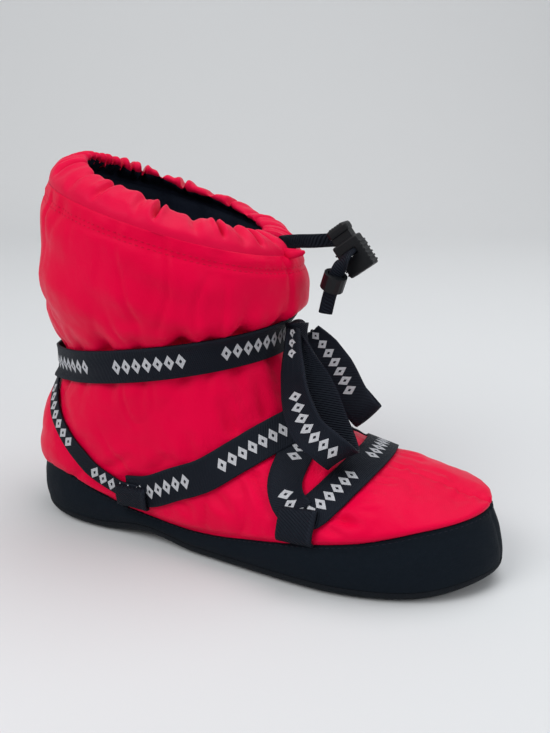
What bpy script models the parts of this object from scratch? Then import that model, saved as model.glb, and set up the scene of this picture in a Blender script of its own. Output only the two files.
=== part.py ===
# Insulated snow boot for the right foot: padded shell, fabric rand and sole, webbing lacing, drawcord collar.
# Metres. +X runs to the toe, +Y to the wearer's left, +Z up. The floor is z = 0 and the sole's middle x = 0.
import math

import bmesh
import bpy
from mathutils import Matrix, Vector
from mathutils.bvhtree import BVHTree

# Foot
SOLE_LENGTH = 0.300
BALL_WIDTH = 0.122
HEEL_WIDTH = 0.098
TOE_LEAN = -0.005
SOLE_THICKNESS = 0.007
SOLE_EDGE = 0.009
ARCH_LIFT = 0.004
TOE_SPRING = 0.006
RAND_TOE_HEIGHT = 0.045
RAND_WALL = 0.004
RAND_SIDE_SLOPE = 0.002
INSOLE_THICKNESS = 0.007

# Upper
UPPER_WALL = 0.008
ANKLE_BACK_HEIGHT = 0.100
ANKLE_FRONT_HEIGHT = 0.126
ANKLE_LENGTH = 0.140
ANKLE_WIDTH = 0.112
ANKLE_SETBACK = 0.020
SHAFT_LENGTH = 0.158
SHAFT_WIDTH = 0.134
SHAFT_SETBACK = 0.011
COLLAR_BACK_HEIGHT = 0.212
COLLAR_FRONT_HEIGHT = 0.174
COLLAR_SIDE_DROP = 0.010
CASING_DEPTH = 0.021
CASING_RISE = 0.0125
CASING_GAP = 0.014
CASING_GAP_TO_LEFT = 0.9

# Webbing
LACE_WIDTH = 0.0195
LACE_THICKNESS = 0.0013
LACE_CLEARANCE = 0.0009
HEEL_LACE_WIDTH = 0.010
LOOP_WIDTH = 0.021
LOOP_HEIGHT = 0.0185
LOOP_START = 0.0035
LOOP_THICKNESS = 0.0016
KNOT_WIDTH = 0.017
KNOT_HEIGHT = 0.015
KNOT_DEPTH = 0.009
KNOT_OUT = 0.0112
BOW_REACH = 0.085

# Drawcord and its lock
CORD_WIDTH = 0.008
CORD_THICKNESS = 0.0032
CORD_REACH = 0.040
LOCK_LENGTH = 0.020
LOCK_WIDTH = 0.016
LOCK_DEPTH = 0.011
LOCK_WALL = 0.0018
LOCK_FLOOR = 0.0045
LOCK_AHEAD = 0.037
LOCK_TO_LEFT = 0.007
LOCK_HEIGHT = 0.1755
LOCK_TILT = math.radians(-37)
CORD_SLOT_AT = 0.0023
BUTTON_WIDTH = 0.0135
BUTTON_DEPTH = 0.010
BUTTON_HEIGHT = 0.0055
BUTTON_TRAVEL = 0.0035
BUTTON_FIT = 0.0003
STOP_WIDTH = 0.0135
STOP_LENGTH = 0.009

# Fits between pieces
FIT_GAP = 0.0003

# How finely the lofts are cut
RING_POINTS = 44
LACE_STEP = 0.0065
BOW_STEP = 0.0040
ROWS_PER_SECTION = 1
FINE_RING_POINTS = 132
OUTLINE_SAMPLES = 240

# The rand's upper edge. along: share of the sole's length from the heel.
# height: share of its height at the toe.
RAND_EDGE = [
    # along, height
    (0.00, 0.85),
    (0.10, 0.81),
    (0.16, 0.70),
    (0.21, 0.57),
    (0.28, 0.45),
    (0.40, 0.38),
    (0.48, 0.40),
    (0.56, 0.49),
    (0.66, 0.61),
    (0.78, 0.75),
    (0.88, 0.91),
    (1.00, 1.00),
]
# Foot sections, rand seam to ankle. back and front: share of the way along the foot, heel to toe.
# back_rise and front_rise: share of the height from the rand seam to the ankle strap.
# heel and ball: share of half the heel width and half the ball width.
# heel_at and ball_at: where along the section those widths stand.
# heel_power and toe_power: how square the ends are.
FOOT_SECTIONS = [
    # back, front, back_rise, front_rise, heel, ball, heel_at, ball_at, heel_power, toe_power
    (0.006, 0.968, 0.00, 0.000, 0.98, 0.985, 0.20, 0.69, 2.3, 1.85),
    (0.000, 0.962, 0.07, 0.070, 1.03, 1.000, 0.21, 0.68, 2.3, 1.90),
    (-0.003, 0.925, 0.15, 0.125, 1.06, 0.980, 0.22, 0.66, 2.2, 1.95),
    (-0.004, 0.880, 0.23, 0.165, 1.07, 0.940, 0.24, 0.64, 2.2, 2.00),
    (-0.004, 0.822, 0.31, 0.196, 1.07, 0.890, 0.26, 0.60, 2.1, 2.00),
    (0.000, 0.748, 0.40, 0.228, 1.07, 0.860, 0.29, 0.54, 2.1, 2.00),
    (0.008, 0.668, 0.50, 0.285, 1.07, 0.850, 0.33, 0.50, 2.1, 2.00),
    (0.019, 0.605, 0.61, 0.420, 1.07, 0.850, 0.38, 0.50, 2.0, 2.00),
    (0.036, 0.568, 0.74, 0.610, 1.08, 0.860, 0.44, 0.50, 2.0, 2.00),
    (0.056, 0.545, 0.87, 0.800, 1.11, 0.890, 0.48, 0.50, 2.0, 2.00),
    (0.065, 0.535, 0.94, 0.910, 1.13, 0.910, 0.50, 0.50, 2.0, 2.00),
]
# Shaft sections, ankle strap to collar seam. climb: share of that height.
# back, front and side: share of the way from the ankle's outline out to the shaft's full outline.
SHAFT_SECTIONS = [
    # climb, back, front, side
    (0.00, 0.00, 0.00, 0.00),
    (0.08, 0.04, 0.05, 0.04),
    (0.17, 0.36, 0.36, 0.34),
    (0.30, 0.82, 0.78, 0.74),
    (0.46, 1.00, 0.98, 0.94),
    (0.66, 0.90, 1.00, 1.00),
    (0.84, 0.60, 0.85, 0.96),
    (1.00, 0.25, 0.65, 0.88),
]
# Where the webbing runs on the upper. along: share of the sole's length from the heel.
# across: share of half the ball width, to the right. up: share of the ankle strap's height at the front.
TOE_STRAP = [
    # along, across, up
    (0.650, 0.97, 0.352),
    (0.681, 0.95, 0.370),
    (0.704, 0.80, 0.420),
    (0.716, 0.66, 0.452),
    (0.728, 0.47, 0.480),
    (0.737, 0.20, 0.497),
    (0.739, 0.00, 0.499),
]
INSTEP_STRAP = [
    # along, across, up
    (0.290, 0.86, 0.275),
    (0.340, 0.88, 0.295),
    (0.394, 0.89, 0.354),
    (0.460, 0.88, 0.427),
    (0.514, 0.77, 0.515),
    (0.551, 0.61, 0.574),
    (0.584, 0.38, 0.613),
    (0.606, 0.10, 0.623),
    (0.620, -0.20, 0.590),
    (0.617, -0.50, 0.544),
    (0.617, -0.78, 0.458),
    (0.635, -0.92, 0.392),
    (0.662, -0.97, 0.348),
]
HEEL_STRAP = [
    # along, across, up
    (0.315, 0.86, 0.280),
    (0.271, 0.86, 0.280),
    (0.237, 0.86, 0.305),
    (0.204, 0.86, 0.345),
    (0.174, 0.84, 0.405),
    (0.146, 0.81, 0.461),
    (0.120, 0.76, 0.522),
    (0.096, 0.66, 0.580),
    (0.074, 0.45, 0.660),
    (0.066, 0.22, 0.730),
    (0.066, 0.04, 0.775),
]
# The bow's two loops, from the knot, in shares of the bow's reach. across: to the right.
# turn: from facing out (0) to standing on edge (1). spread: share of the webbing's width.
BOW_RIGHT = [
    # ahead, across, up, turn, spread
    (0.036, 0.098, -0.020, 0.0, 0.34),
    (0.090, 0.160, -0.060, 0.0, 0.60),
    (0.170, 0.215, -0.175, 0.0, 0.95),
    (0.274, 0.235, -0.342, 0.0, 1.00),
    (0.358, 0.250, -0.518, 0.0, 1.00),
    (0.425, 0.262, -0.645, 0.0, 1.00),
    (0.470, 0.310, -0.702, 0.0, 1.00),
    (0.500, 0.390, -0.705, 0.0, 1.00),
    (0.492, 0.462, -0.660, 0.1, 1.00),
    (0.405, 0.492, -0.585, 0.4, 1.00),
    (0.270, 0.465, -0.500, 0.8, 1.00),
    (0.155, 0.385, -0.335, 0.8, 0.85),
    (0.085, 0.280, -0.130, 0.4, 0.50),
    (0.020, 0.126, 0.055, 0.0, 0.30),
]
BOW_LEFT = [
    # ahead, across, up, turn, spread
    (0.060, -0.125, -0.020, 0.0, 0.45),
    (0.140, -0.150, -0.120, 0.0, 0.85),
    (0.250, -0.190, -0.300, 0.0, 1.00),
    (0.340, -0.210, -0.470, 0.0, 1.00),
    (0.430, -0.220, -0.590, 0.0, 1.00),
    (0.450, -0.280, -0.630, 0.0, 1.00),
    (0.370, -0.330, -0.580, 0.0, 1.00),
    (0.250, -0.340, -0.470, 0.0, 1.00),
    (0.140, -0.290, -0.320, 0.0, 1.00),
    (0.070, -0.220, -0.170, 0.0, 0.80),
    (0.010, -0.145, -0.060, 0.0, 0.45),
]
WEBBING_FACING = {
    "right_flat": (0.735, 0.504, 0.447),
    "right_edge": (0.844, -0.326, 0.420),
    "left": (0.62, 0.51, 0.60),
}
# The drawcord from the collar's gap through its lock to its end, from the lock's middle, in shares of
# its reach.
# wide_ahead, wide_left and wide_up: which way its width points.
DRAWCORD = [
    # ahead, to_left, up, wide_ahead, wide_left, wide_up
    (-1.060, -0.198, 0.125, 0.0, 0.0, 1.0),
    (-1.020, -0.08, 0.125, 0.0, 0.0, 1.0),
    (-0.880, 0.05, 0.126, 0.0, 0.0, 1.0),
    (-0.680, 0.14, 0.130, 0.0, 0.1, 1.0),
    (-0.400, 0.28, 0.145, 0.3, 0.0, 1.0),
    (-0.180, 0.38, 0.130, 0.8, 0.1, 0.8),
    (-0.040, 0.36, 0.080, 0.8, 0.0, 0.6),
    (-0.034, 0.20, 0.046, 0.8, 0.0, 0.6),
    (-0.034, 0.00, 0.046, 0.8, 0.0, 0.6),
    (-0.034, -0.20, 0.046, 0.8, 0.0, 0.6),
    (-0.050, -0.34, -0.020, 0.8, -0.2, 0.5),
    (-0.120, -0.38, -0.170, 0.9, 0.3, 0.2),
    (-0.180, -0.36, -0.320, 0.9, 0.4, 0.1),
    (-0.260, -0.31, -0.560, 0.9, 0.4, 0.0),
    (-0.320, -0.28, -0.800, 0.9, 0.4, 0.0),
]
STOP_ROW = 12
# Where the loops stand, as shares of the sole's length.
BALL_LOOP_AT = 0.661
HEEL_LOOP_AT = 0.300
# The collar casing's cut, from its outer foot over the rim to its inner foot: shares inwards and upwards.
CASING_PROFILE = [
    # inwards, upwards
    (0.00, 0.00),
    (0.06, 0.38),
    (0.30, 0.74),
    (0.62, 0.95),
    (0.92, 1.00),
    (1.00, 0.84),
    (0.86, 0.60),
    (0.62, 0.40),
    (0.44, 0.20),
    (0.38, 0.00),
]


def smooth(t):
    t = min(max(t, 0.0), 1.0)
    return t * t * (3 - 2 * t)


def mix(a, b, t):
    return a + (b - a) * t


def bump(at, middle, reach):
    away = abs(at - middle) / reach
    return 0.0 if away >= 1 else (1 + math.cos(math.pi * away)) / 2


def toe_lean(share):
    return TOE_LEAN * smooth((share - 0.45) / 0.55)


def foot_x(share):
    return SOLE_LENGTH * (share - 0.5)


def share_of(x):
    return x / SOLE_LENGTH + 0.5


def spline(p0, p1, p2, p3, t):
    # Catmull-Rom between p1 and p2.
    square, cube = 2 * p0 - 5 * p1 + 4 * p2 - p3, 3 * p1 - p0 - 3 * p2 + p3
    return 0.5 * (2 * p1 + (p2 - p0) * t + square * t * t + cube * t**3)


def read_curve(rows, at):
    # Height of a smooth curve through (along, height) rows.
    at = min(max(at, rows[0][0]), rows[-1][0])
    k = max(i for i in range(len(rows) - 1) if rows[i][0] <= at)
    t = (at - rows[k][0]) / (rows[k + 1][0] - rows[k][0])
    heights = [rows[min(max(i, 0), len(rows) - 1)][1] for i in range(k - 1, k + 3)]
    return spline(*heights, t)


def rand_top(share):
    return RAND_TOE_HEIGHT * read_curve(RAND_EDGE, share)


def floor_rise(share):
    arch = ARCH_LIFT * bump(share, 0.32, 0.12)
    return arch + TOE_SPRING * smooth((share - 0.82) / 0.18) ** 2


def half_width(at, heel, ball, heel_at, ball_at, heel_power, toe_power):
    if at < heel_at:
        return heel * (1 - (1 - at / heel_at) ** heel_power) ** (1 / heel_power)
    if at < ball_at:
        return mix(heel, ball, smooth((at - heel_at) / (ball_at - heel_at)))
    return ball * max(0.0, 1 - ((at - ball_at) / (1 - ball_at)) ** toe_power) ** (1 / toe_power)


def outline(section, count):
    # Evenly spaced points round a section, from the toe end along the right side to the heel and back.
    half = []
    for i in range(OUTLINE_SAMPLES + 1):
        at = (1 + math.cos(math.pi * i / OUTLINE_SAMPLES)) / 2
        x = mix(section["back"], section["front"], at)
        half.append((x, half_width(at, *section["shape"]), at))
    run = [0.0]
    for a, b in zip(half, half[1:]):
        run.append(run[-1] + math.hypot(b[0] - a[0], b[1] - a[1]))
    steps = count // 2
    right, k = [], 0
    for i in range(steps + 1):
        goal = run[-1] * i / steps
        while k < len(run) - 2 and run[k + 1] < goal:
            k += 1
        t = (goal - run[k]) / (run[k + 1] - run[k])
        right.append(tuple(mix(half[k][c], half[k + 1][c], t) for c in range(3)))
    points = [(x, -y, at) for x, y, at in right]
    points += [(x, y, at) for x, y, at in reversed(right[1:-1])]
    return points


def ring_of(section, count):
    ring = []
    for x, y, at in outline(section, count):
        share = share_of(x)
        z = mix(section["back_z"], section["front_z"], at)
        z += section["seam"] * (rand_top(share) + FIT_GAP - z)
        z -= section["drop"] * y / section["shape"][1] / 2
        ring.append(Vector((x, y + toe_lean(share) * section["lean"], z)))
    return ring


def inset(ring, depth):
    # The ring moved inwards in plan; depth is one length, or a function of the share along the foot.
    moved = []
    for i, p in enumerate(ring):
        a, b = ring[i - 1], ring[(i + 1) % len(ring)]
        along = Vector((b.x - a.x, b.y - a.y, 0)).normalized()
        inwards = Vector((along.y, -along.x, 0))
        d = depth(share_of(p.x)) if callable(depth) else depth
        moved.append(p + inwards * d)
    return moved


def upper_sections():
    ankle_back = foot_x(0) + ANKLE_SETBACK
    ankle_front = ankle_back + ANKLE_LENGTH
    shaft_back = foot_x(0) + SHAFT_SETBACK
    shaft_front = shaft_back + SHAFT_LENGTH
    seam_back, seam_front = rand_top(0) + FIT_GAP, rand_top(1) + FIT_GAP
    sections = []
    for back, front, back_rise, front_rise, heel, ball, *rest in FOOT_SECTIONS:
        sections.append(
            {
                "back": foot_x(back),
                "front": foot_x(front),
                "back_z": mix(seam_back, ANKLE_BACK_HEIGHT, back_rise),
                "front_z": mix(seam_front, ANKLE_FRONT_HEIGHT, front_rise),
                "seam": max(0.0, 1 - back_rise / 0.6) ** 2,
                "drop": 0.0,
                "lean": 1 - back_rise,
                "shape": (heel * HEEL_WIDTH / 2, ball * BALL_WIDTH / 2, *rest),
            }
        )
    for climb, back, front, side in SHAFT_SECTIONS:
        width = mix(ANKLE_WIDTH, SHAFT_WIDTH, side) / 2
        sections.append(
            {
                "back": mix(ankle_back, shaft_back, back),
                "front": mix(ankle_front, shaft_front, front),
                "back_z": mix(ANKLE_BACK_HEIGHT, COLLAR_BACK_HEIGHT, climb),
                "front_z": mix(ANKLE_FRONT_HEIGHT, COLLAR_FRONT_HEIGHT, climb),
                "seam": 0.0,
                "drop": COLLAR_SIDE_DROP * climb,
                "lean": 0.0,
                "shape": (width, width, 0.5, 0.5, 2.1, 2.1),
            }
        )
    return sections


def between(rows, steps):
    # Catmull-Rom rows through the given rows, steps to each gap.
    out = []
    for i in range(len(rows) - 1):
        p0 = rows[max(i - 1, 0)]
        p1, p2 = rows[i], rows[i + 1]
        p3 = rows[min(i + 2, len(rows) - 1)]
        for k in range(steps):
            t = k / steps
            out.append([spline(a, b, c, d, t) for a, b, c, d in zip(p0, p1, p2, p3)])
    out.append(rows[-1])
    return out


def upper_rings(count, steps):
    return between([ring_of(s, count) for s in upper_sections()], steps)


def normals_of(rings):
    # Outward normals of a stack of closed rings, from their neighbours along and across.
    grid = []
    for r, ring in enumerate(rings):
        low, high = rings[max(r - 1, 0)], rings[min(r + 1, len(rings) - 1)]
        row = []
        for i in range(len(ring)):
            round_it = ring[(i + 1) % len(ring)] - ring[i - 1]
            row.append((high[i] - low[i]).cross(round_it).normalized())
        grid.append(row)
    return grid


def material(name, colour, roughness, metallic=0.0):
    made = bpy.data.materials.new(name)
    made.use_nodes = True
    shader = made.node_tree.nodes["Principled BSDF"]
    shader.inputs["Base Color"].default_value = (*colour, 1)
    shader.inputs["Roughness"].default_value = roughness
    shader.inputs["Metallic"].default_value = metallic
    return made


def finish_object(bm, name, finish, smooth_angle=math.radians(40)):
    bmesh.ops.recalc_face_normals(bm, faces=bm.faces)
    mesh = bpy.data.meshes.new(name)
    bm.to_mesh(mesh)
    bm.free()
    if finish:
        mesh.materials.append(finish)
    mesh.shade_smooth()
    mesh.set_sharp_from_angle(angle=smooth_angle)
    made = bpy.data.objects.new(name, mesh)
    bpy.context.scene.collection.objects.link(made)
    return made


def skin(bm, loops, closed=True):
    # Quads between neighbouring loops of vertices.
    for low, high in zip(loops, loops[1:]):
        count = len(low)
        for i in range(count if closed else count - 1):
            j = (i + 1) % count
            bm.faces.new((low[i], low[j], high[j], high[i]))


def lid(bm, loop):
    # Fills a ring with cross strips, so that a flat floor stays flat strip by strip.
    count = len(loop)
    for i in range(1, count // 2):
        a, b = loop[i], loop[count - i]
        if i == 1:
            bm.faces.new((loop[0], a, b))
        if i == count // 2 - 1:
            bm.faces.new((a, loop[count // 2], b))
        else:
            bm.faces.new((a, loop[i + 1], loop[count - i - 1], b))


def verts(bm, points):
    return [bm.verts.new(p) for p in points]


def make_upper(finish):
    rings = upper_rings(RING_POINTS, ROWS_PER_SECTION)
    normals = normals_of(rings)
    bm = bmesh.new()
    outer = [verts(bm, ring) for ring in rings]
    inner = []
    for ring, row in zip(rings, normals):
        inner.append(verts(bm, [p - n * UPPER_WALL for p, n in zip(ring, row)]))
    for r in (0, -1):
        for i, p in enumerate(rings[r]):
            inner[r][i].co.z = p.z
    skin(bm, outer + inner[::-1] + outer[:1])
    return finish_object(bm, "upper", finish)


def sole_ring(depth, height):
    section = {
        "back": foot_x(0),
        "front": foot_x(1),
        "back_z": 0,
        "front_z": 0,
        "seam": 0,
        "drop": 0,
        "lean": 1,
        "shape": (HEEL_WIDTH / 2, BALL_WIDTH / 2, 0.20, 0.69, 2.3, 1.85),
    }
    ring = inset(ring_of(section, RING_POINTS), depth)
    for p in ring:
        p.z = height + floor_rise(share_of(p.x))
    return ring


def make_outsole(finish):
    bm = bmesh.new()
    cuts = [(1.0, 0.0), (0.40, 0.22), (0.10, 0.62), (0.04, 1.0)]
    loops = [verts(bm, sole_ring(SOLE_EDGE * depth, SOLE_THICKNESS * height)) for depth, height in cuts]
    skin(bm, loops)
    lid(bm, loops[0])
    lid(bm, loops[-1])
    return finish_object(bm, "outsole", finish)


def rand_rings(inner_by):
    # The rand's face from the sole up to the upper's seam, moved in by inner_by.
    low = sole_ring(SOLE_EDGE * 0.04 + inner_by, SOLE_THICKNESS + FIT_GAP)
    high = inset(ring_of(upper_sections()[0], RING_POINTS), inner_by)
    for p in high:
        p.z = rand_top(share_of(p.x))
    rings = []
    for climb, bulge in ((0.0, 0.0), (0.22, 0.75), (0.55, 1.0), (0.85, 0.45), (1.0, 0.0)):
        ring = [a.lerp(b, climb) for a, b in zip(low, high)]
        rings.append(inset(ring, -RAND_SIDE_SLOPE * bulge))
    return rings


def make_rand(finish):
    bm = bmesh.new()
    outer = [verts(bm, ring) for ring in rand_rings(0.0)]
    inner = [verts(bm, ring) for ring in rand_rings(RAND_WALL)]
    skin(bm, outer + inner[::-1] + outer[:1])
    return finish_object(bm, "rand", finish)


def make_insole(finish):
    bm = bmesh.new()
    depth = UPPER_WALL + RAND_SIDE_SLOPE + 2 * FIT_GAP
    base = SOLE_THICKNESS + FIT_GAP
    loops = [verts(bm, sole_ring(depth, base + h)) for h in (0.0, INSOLE_THICKNESS)]
    skin(bm, loops)
    lid(bm, loops[0])
    lid(bm, loops[-1])
    return finish_object(bm, "insole", finish)


def collar_path(count):
    # The collar seam's ring, cut at the front by the gap: points and their inward directions.
    ring = upper_rings(FINE_RING_POINTS, 1)[-1]
    inwards = []
    for i in range(len(ring)):
        a, b = ring[i - 1], ring[(i + 1) % len(ring)]
        along = Vector((b.x - a.x, b.y - a.y, 0)).normalized()
        inwards.append(Vector((along.y, -along.x, 0)))
    run = [0.0]
    for i in range(len(ring)):
        run.append(run[-1] + (ring[(i + 1) % len(ring)] - ring[i]).length)
    out, k = [], 0
    for i in range(count):
        first = CASING_GAP * (1 - CASING_GAP_TO_LEFT)
        goal = mix(first, run[-1] - CASING_GAP + first, i / (count - 1))
        while run[k + 1] < goal:
            k += 1
        t = (goal - run[k]) / (run[k + 1] - run[k])
        j = (k + 1) % len(ring)
        h = k % len(ring)
        out.append((ring[h].lerp(ring[j], t), inwards[h].lerp(inwards[j], t).normalized()))
    return out


def make_casing(finish):
    bm = bmesh.new()
    loops = []
    for point, inwards in collar_path(RING_POINTS + 1):
        loop = []
        for deep, up in CASING_PROFILE:
            loop.append(point + inwards * CASING_DEPTH * deep + Vector((0, 0, FIT_GAP + CASING_RISE * up)))
        loops.append(verts(bm, loop))
    skin(bm, loops)
    bm.faces.new(loops[0])
    bm.faces.new(loops[-1])
    return finish_object(bm, "collar_casing", finish)


def tree_of(made):
    graph = bpy.context.evaluated_depsgraph_get()
    return BVHTree.FromObject(made, graph)


def smooth_path(points, step):
    # Catmull-Rom through the points, cut into even steps.
    fine = [Vector(p) for p in between([tuple(p) for p in points], 12)]
    run = [0.0]
    for a, b in zip(fine, fine[1:]):
        run.append(run[-1] + (b - a).length)
    count = max(2, round(run[-1] / step))
    out, k = [], 0
    for i in range(count + 1):
        goal = run[-1] * i / count
        while k < len(run) - 2 and run[k + 1] < goal:
            k += 1
        out.append(fine[k].lerp(fine[k + 1], (goal - run[k]) / (run[k + 1] - run[k])))
    return out


def surface_path(tree, points, step):
    # The path laid on the upper: places and outward directions.
    places = [tree.find_nearest(p)[0] for p in smooth_path(points, step / 2)]
    places = smooth_path(places, step)
    normals = [tree.find_nearest(p)[1] for p in places]
    for _ in range(2):
        last = len(normals) - 1
        padded = [normals[0], *normals, normals[last]]
        normals = [(a + b * 2 + c).normalized() for a, b, c in zip(padded, padded[1:], padded[2:])]
    return places, normals


def strip(bm, places, normals, width, low, high, closed=False, tree=None):
    # A flat strip along the path. low and high: its two faces over the path, functions of the share along it.
    count = len(places)
    loops = []
    for i in range(count):
        if closed:
            along = places[(i + 1) % count] - places[i - 1]
        else:
            along = places[min(i + 1, count - 1)] - places[max(i - 1, 0)]
        side = normals[i].cross(along).normalized()
        share = i / (count - 1)
        under, over = [], []
        for across in (-0.5, 0.0, 0.5):
            foot = places[i] + side * across * width
            lift = normals[i]
            if tree:
                found = tree.ray_cast(foot + lift * 0.02, -lift, 0.05)
                if found[0]:
                    foot = found[0]
            under.append(foot + lift * low(share))
            over.append(foot + lift * high(share))
        loops.append(verts(bm, under + over[::-1]))
    skin(bm, loops + loops[:1] if closed else loops)
    if not closed:
        bm.faces.new(loops[0])
        bm.faces.new(loops[-1])
    return loops


def on_foot(row, side):
    along, across, up = row
    return Vector((foot_x(along), -side * across * BALL_WIDTH / 2, up * ANKLE_FRONT_HEIGHT))


def flat(height):
    return lambda share: height


def strip_object(name, tree, points, width, low, high, finish, closed=False):
    bm = bmesh.new()
    places, normals = surface_path(tree, points, LACE_STEP)
    if closed:
        places, normals = places[:-1], normals[:-1]
    strip(bm, places, normals, width, low, high, closed, tree)
    return finish_object(bm, name, finish)


def make_lacing(tree, finish):
    # One length of webbing: toe strap, crossed instep straps and heel straps, joined where they lie
    # on one another.
    base, thick = LACE_CLEARANCE, LACE_THICKNESS
    step_up = thick * 0.7
    toe = [on_foot(row, 1) for row in TOE_STRAP] + [on_foot(row, -1) for row in TOE_STRAP[-2::-1]]
    lacing = strip_object("lacing", tree, toe, LACE_WIDTH, flat(base), flat(base + thick), finish)
    pieces = []
    for side in (1, -1):
        lift = step_up if side == 1 else 0.0
        path = [on_foot(row, side) for row in INSTEP_STRAP]

        def low(share, lift=lift):
            over = lift * min(1.0, 1.6 * bump(share, 0.62, 0.22))
            return base + over + step_up * smooth((share - 0.86) / 0.07)

        def high(share, low=low):
            return low(share) + thick

        pieces.append(strip_object("instep_part", tree, path, LACE_WIDTH, low, high, finish))
        path = [on_foot(row, side) for row in HEEL_STRAP]

        def heel_low(share, over=lift):
            return base + step_up * (1 - smooth((share - 0.06) / 0.10)) + over * smooth((share - 0.80) / 0.12)

        def heel_high(share, low=heel_low):
            return low(share) + thick * (1 + 0.8 * bump(share, 0.5, 0.42))

        pieces.append(strip_object("heel_part", tree, path, HEEL_LACE_WIDTH, heel_low, heel_high, finish))
    for piece in pieces:
        join(lacing, piece)
    fill_pockets(lacing)
    return lacing


def fill_pockets(made):
    # Straps that cross can shut a sliver of air between them: those inner shells come out.
    bm = bmesh.new()
    bm.from_mesh(made.data)
    left, pockets = set(bm.verts), []
    while left:
        shell = [left.pop()]
        for v in shell:
            for edge in v.link_edges:
                other = edge.other_vert(v)
                if other in left:
                    left.remove(other)
                    shell.append(other)
        faces = {face for v in shell for face in v.link_faces}
        if sum(face.calc_center_median().dot(face.normal) * face.calc_area() for face in faces) <= 0:
            pockets += shell
    bmesh.ops.delete(bm, geom=pockets, context="VERTS")
    bm.to_mesh(made.data)
    bm.free()


def join(made, piece):
    union = made.modifiers.new("join", "BOOLEAN")
    union.operation = "UNION"
    union.solver = "EXACT"
    union.object = piece
    bake(made)
    bpy.data.objects.remove(piece)


def bake(made):
    graph = bpy.context.evaluated_depsgraph_get()
    mesh = bpy.data.meshes.new_from_object(made.evaluated_get(graph))
    made.modifiers.clear()
    made.data = mesh


def make_ankle_band(tree, finish):
    ring = upper_rings(RING_POINTS, 1)[len(FOOT_SECTIONS)]
    centre = sum(ring, Vector()) / len(ring)
    points = [centre + (p - centre) * 1.02 for p in ring]
    back = 0.5

    def low(share):
        return LACE_CLEARANCE + (2 * LACE_THICKNESS + 0.0012) * min(1.0, 1.8 * bump(share, back, 0.13))

    def high(share):
        return low(share) + LACE_THICKNESS

    return strip_object("ankle_band", tree, points + points[:1], LACE_WIDTH, low, high, finish, closed=True)


def make_loop(name, tree, at, side, height, finish):
    # A folded webbing loop sewn into the rand's seam: its face stands over the lace, its fold comes down
    # to the upper.
    x = foot_x(at)
    y = -side * BALL_WIDTH / 2
    foot_z = rand_top(at) + LOOP_START
    points = [Vector((x, y, foot_z + height * k / 4)) for k in range(5)]
    bm = bmesh.new()
    places, normals = surface_path(tree, points, height / 9)
    over = LACE_CLEARANCE + 1.7 * LACE_THICKNESS + 1.6 * FIT_GAP

    def low(share):
        return over

    def high(share):
        return low(share) + LOOP_THICKNESS

    strip(bm, places, normals, LOOP_WIDTH, low, high, tree=tree)
    return finish_object(bm, name, finish)


def knot_centre():
    front = upper_sections()[len(FOOT_SECTIONS)]["front"]
    return Vector((front + KNOT_OUT, 0.0, ANKLE_FRONT_HEIGHT + 0.003))


def make_knot(finish):
    # The wrap of webbing over the crossed ends: a soft block, narrower at its waist.
    bm = bmesh.new()
    loops = []
    for up in (-0.5, -0.36, 0.0, 0.36, 0.5):
        full = 1.0 if abs(up) < 0.4 else 0.72
        loop = []
        for k in range(12):
            angle = math.tau * k / 12
            loop.append(
                knot_centre()
                + Vector(
                    (
                        KNOT_DEPTH / 2 * full * math.copysign(abs(math.cos(angle)) ** 0.7, math.cos(angle)),
                        KNOT_WIDTH / 2 * full * math.copysign(abs(math.sin(angle)) ** 0.7, math.sin(angle)),
                        KNOT_HEIGHT * up,
                    )
                )
            )
        loops.append(verts(bm, loop))
    skin(bm, loops)
    bm.faces.new(loops[0])
    bm.faces.new(loops[-1])
    return finish_object(bm, "bow_knot", finish)


def make_bow_loop(name, rows, flat_way, edge_way, finish):
    # A free loop of webbing: its middle line from the table, its width along the facing directions.
    places = smooth_path([Vector((a, -b, c)) * BOW_REACH + knot_centre() for a, b, c, _, _ in rows], BOW_STEP)
    bm = bmesh.new()
    loops = []
    last = len(places) - 1
    for i, place in enumerate(places):
        at = i / last * (len(rows) - 1)
        k = min(int(at), len(rows) - 2)
        turn = mix(rows[k][3], rows[k + 1][3], at - k)
        spread = mix(rows[k][4], rows[k + 1][4], at - k)
        along = (places[min(i + 1, last)] - places[max(i - 1, 0)]).normalized()
        wide = Vector(flat_way).lerp(Vector(edge_way), turn)
        wide = (wide - along * wide.dot(along)).normalized() * LACE_WIDTH * spread / 2
        out = along.cross(wide).normalized() * LACE_THICKNESS / 2
        low, high = place - out, place + out
        loops.append(verts(bm, [low - wide, low + wide, high + wide, high - wide]))
    skin(bm, loops)
    # Where the webbing twists, its two faces are split along the same diagonal, so that they don't cross.
    sides = bm.faces[:]
    bmesh.ops.triangulate(bm, faces=sides[2::4], quad_method="ALTERNATE")
    bmesh.ops.triangulate(bm, faces=sides[0::4] + sides[1::4] + sides[3::4], quad_method="FIXED")
    bm.faces.new(loops[0])
    bm.faces.new(loops[-1])
    return finish_object(bm, name, finish)


def box(size, centre, frame, bevel=0.0):
    bm = bmesh.new()
    bmesh.ops.create_cube(bm, size=1.0)
    bmesh.ops.scale(bm, vec=size, verts=bm.verts)
    bmesh.ops.translate(bm, vec=centre, verts=bm.verts)
    if bevel:
        bmesh.ops.bevel(bm, geom=bm.edges[:], offset=bevel, segments=2, profile=0.5, affect="EDGES")
    bmesh.ops.transform(bm, matrix=frame, verts=bm.verts)
    return bm


def cut(made, bm):
    cutter = finish_object(bm, "cutter", None)
    hole = made.modifiers.new("cut", "BOOLEAN")
    hole.operation = "DIFFERENCE"
    hole.solver = "EXACT"
    hole.object = cutter
    bake(made)
    bpy.data.objects.remove(cutter)


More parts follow.
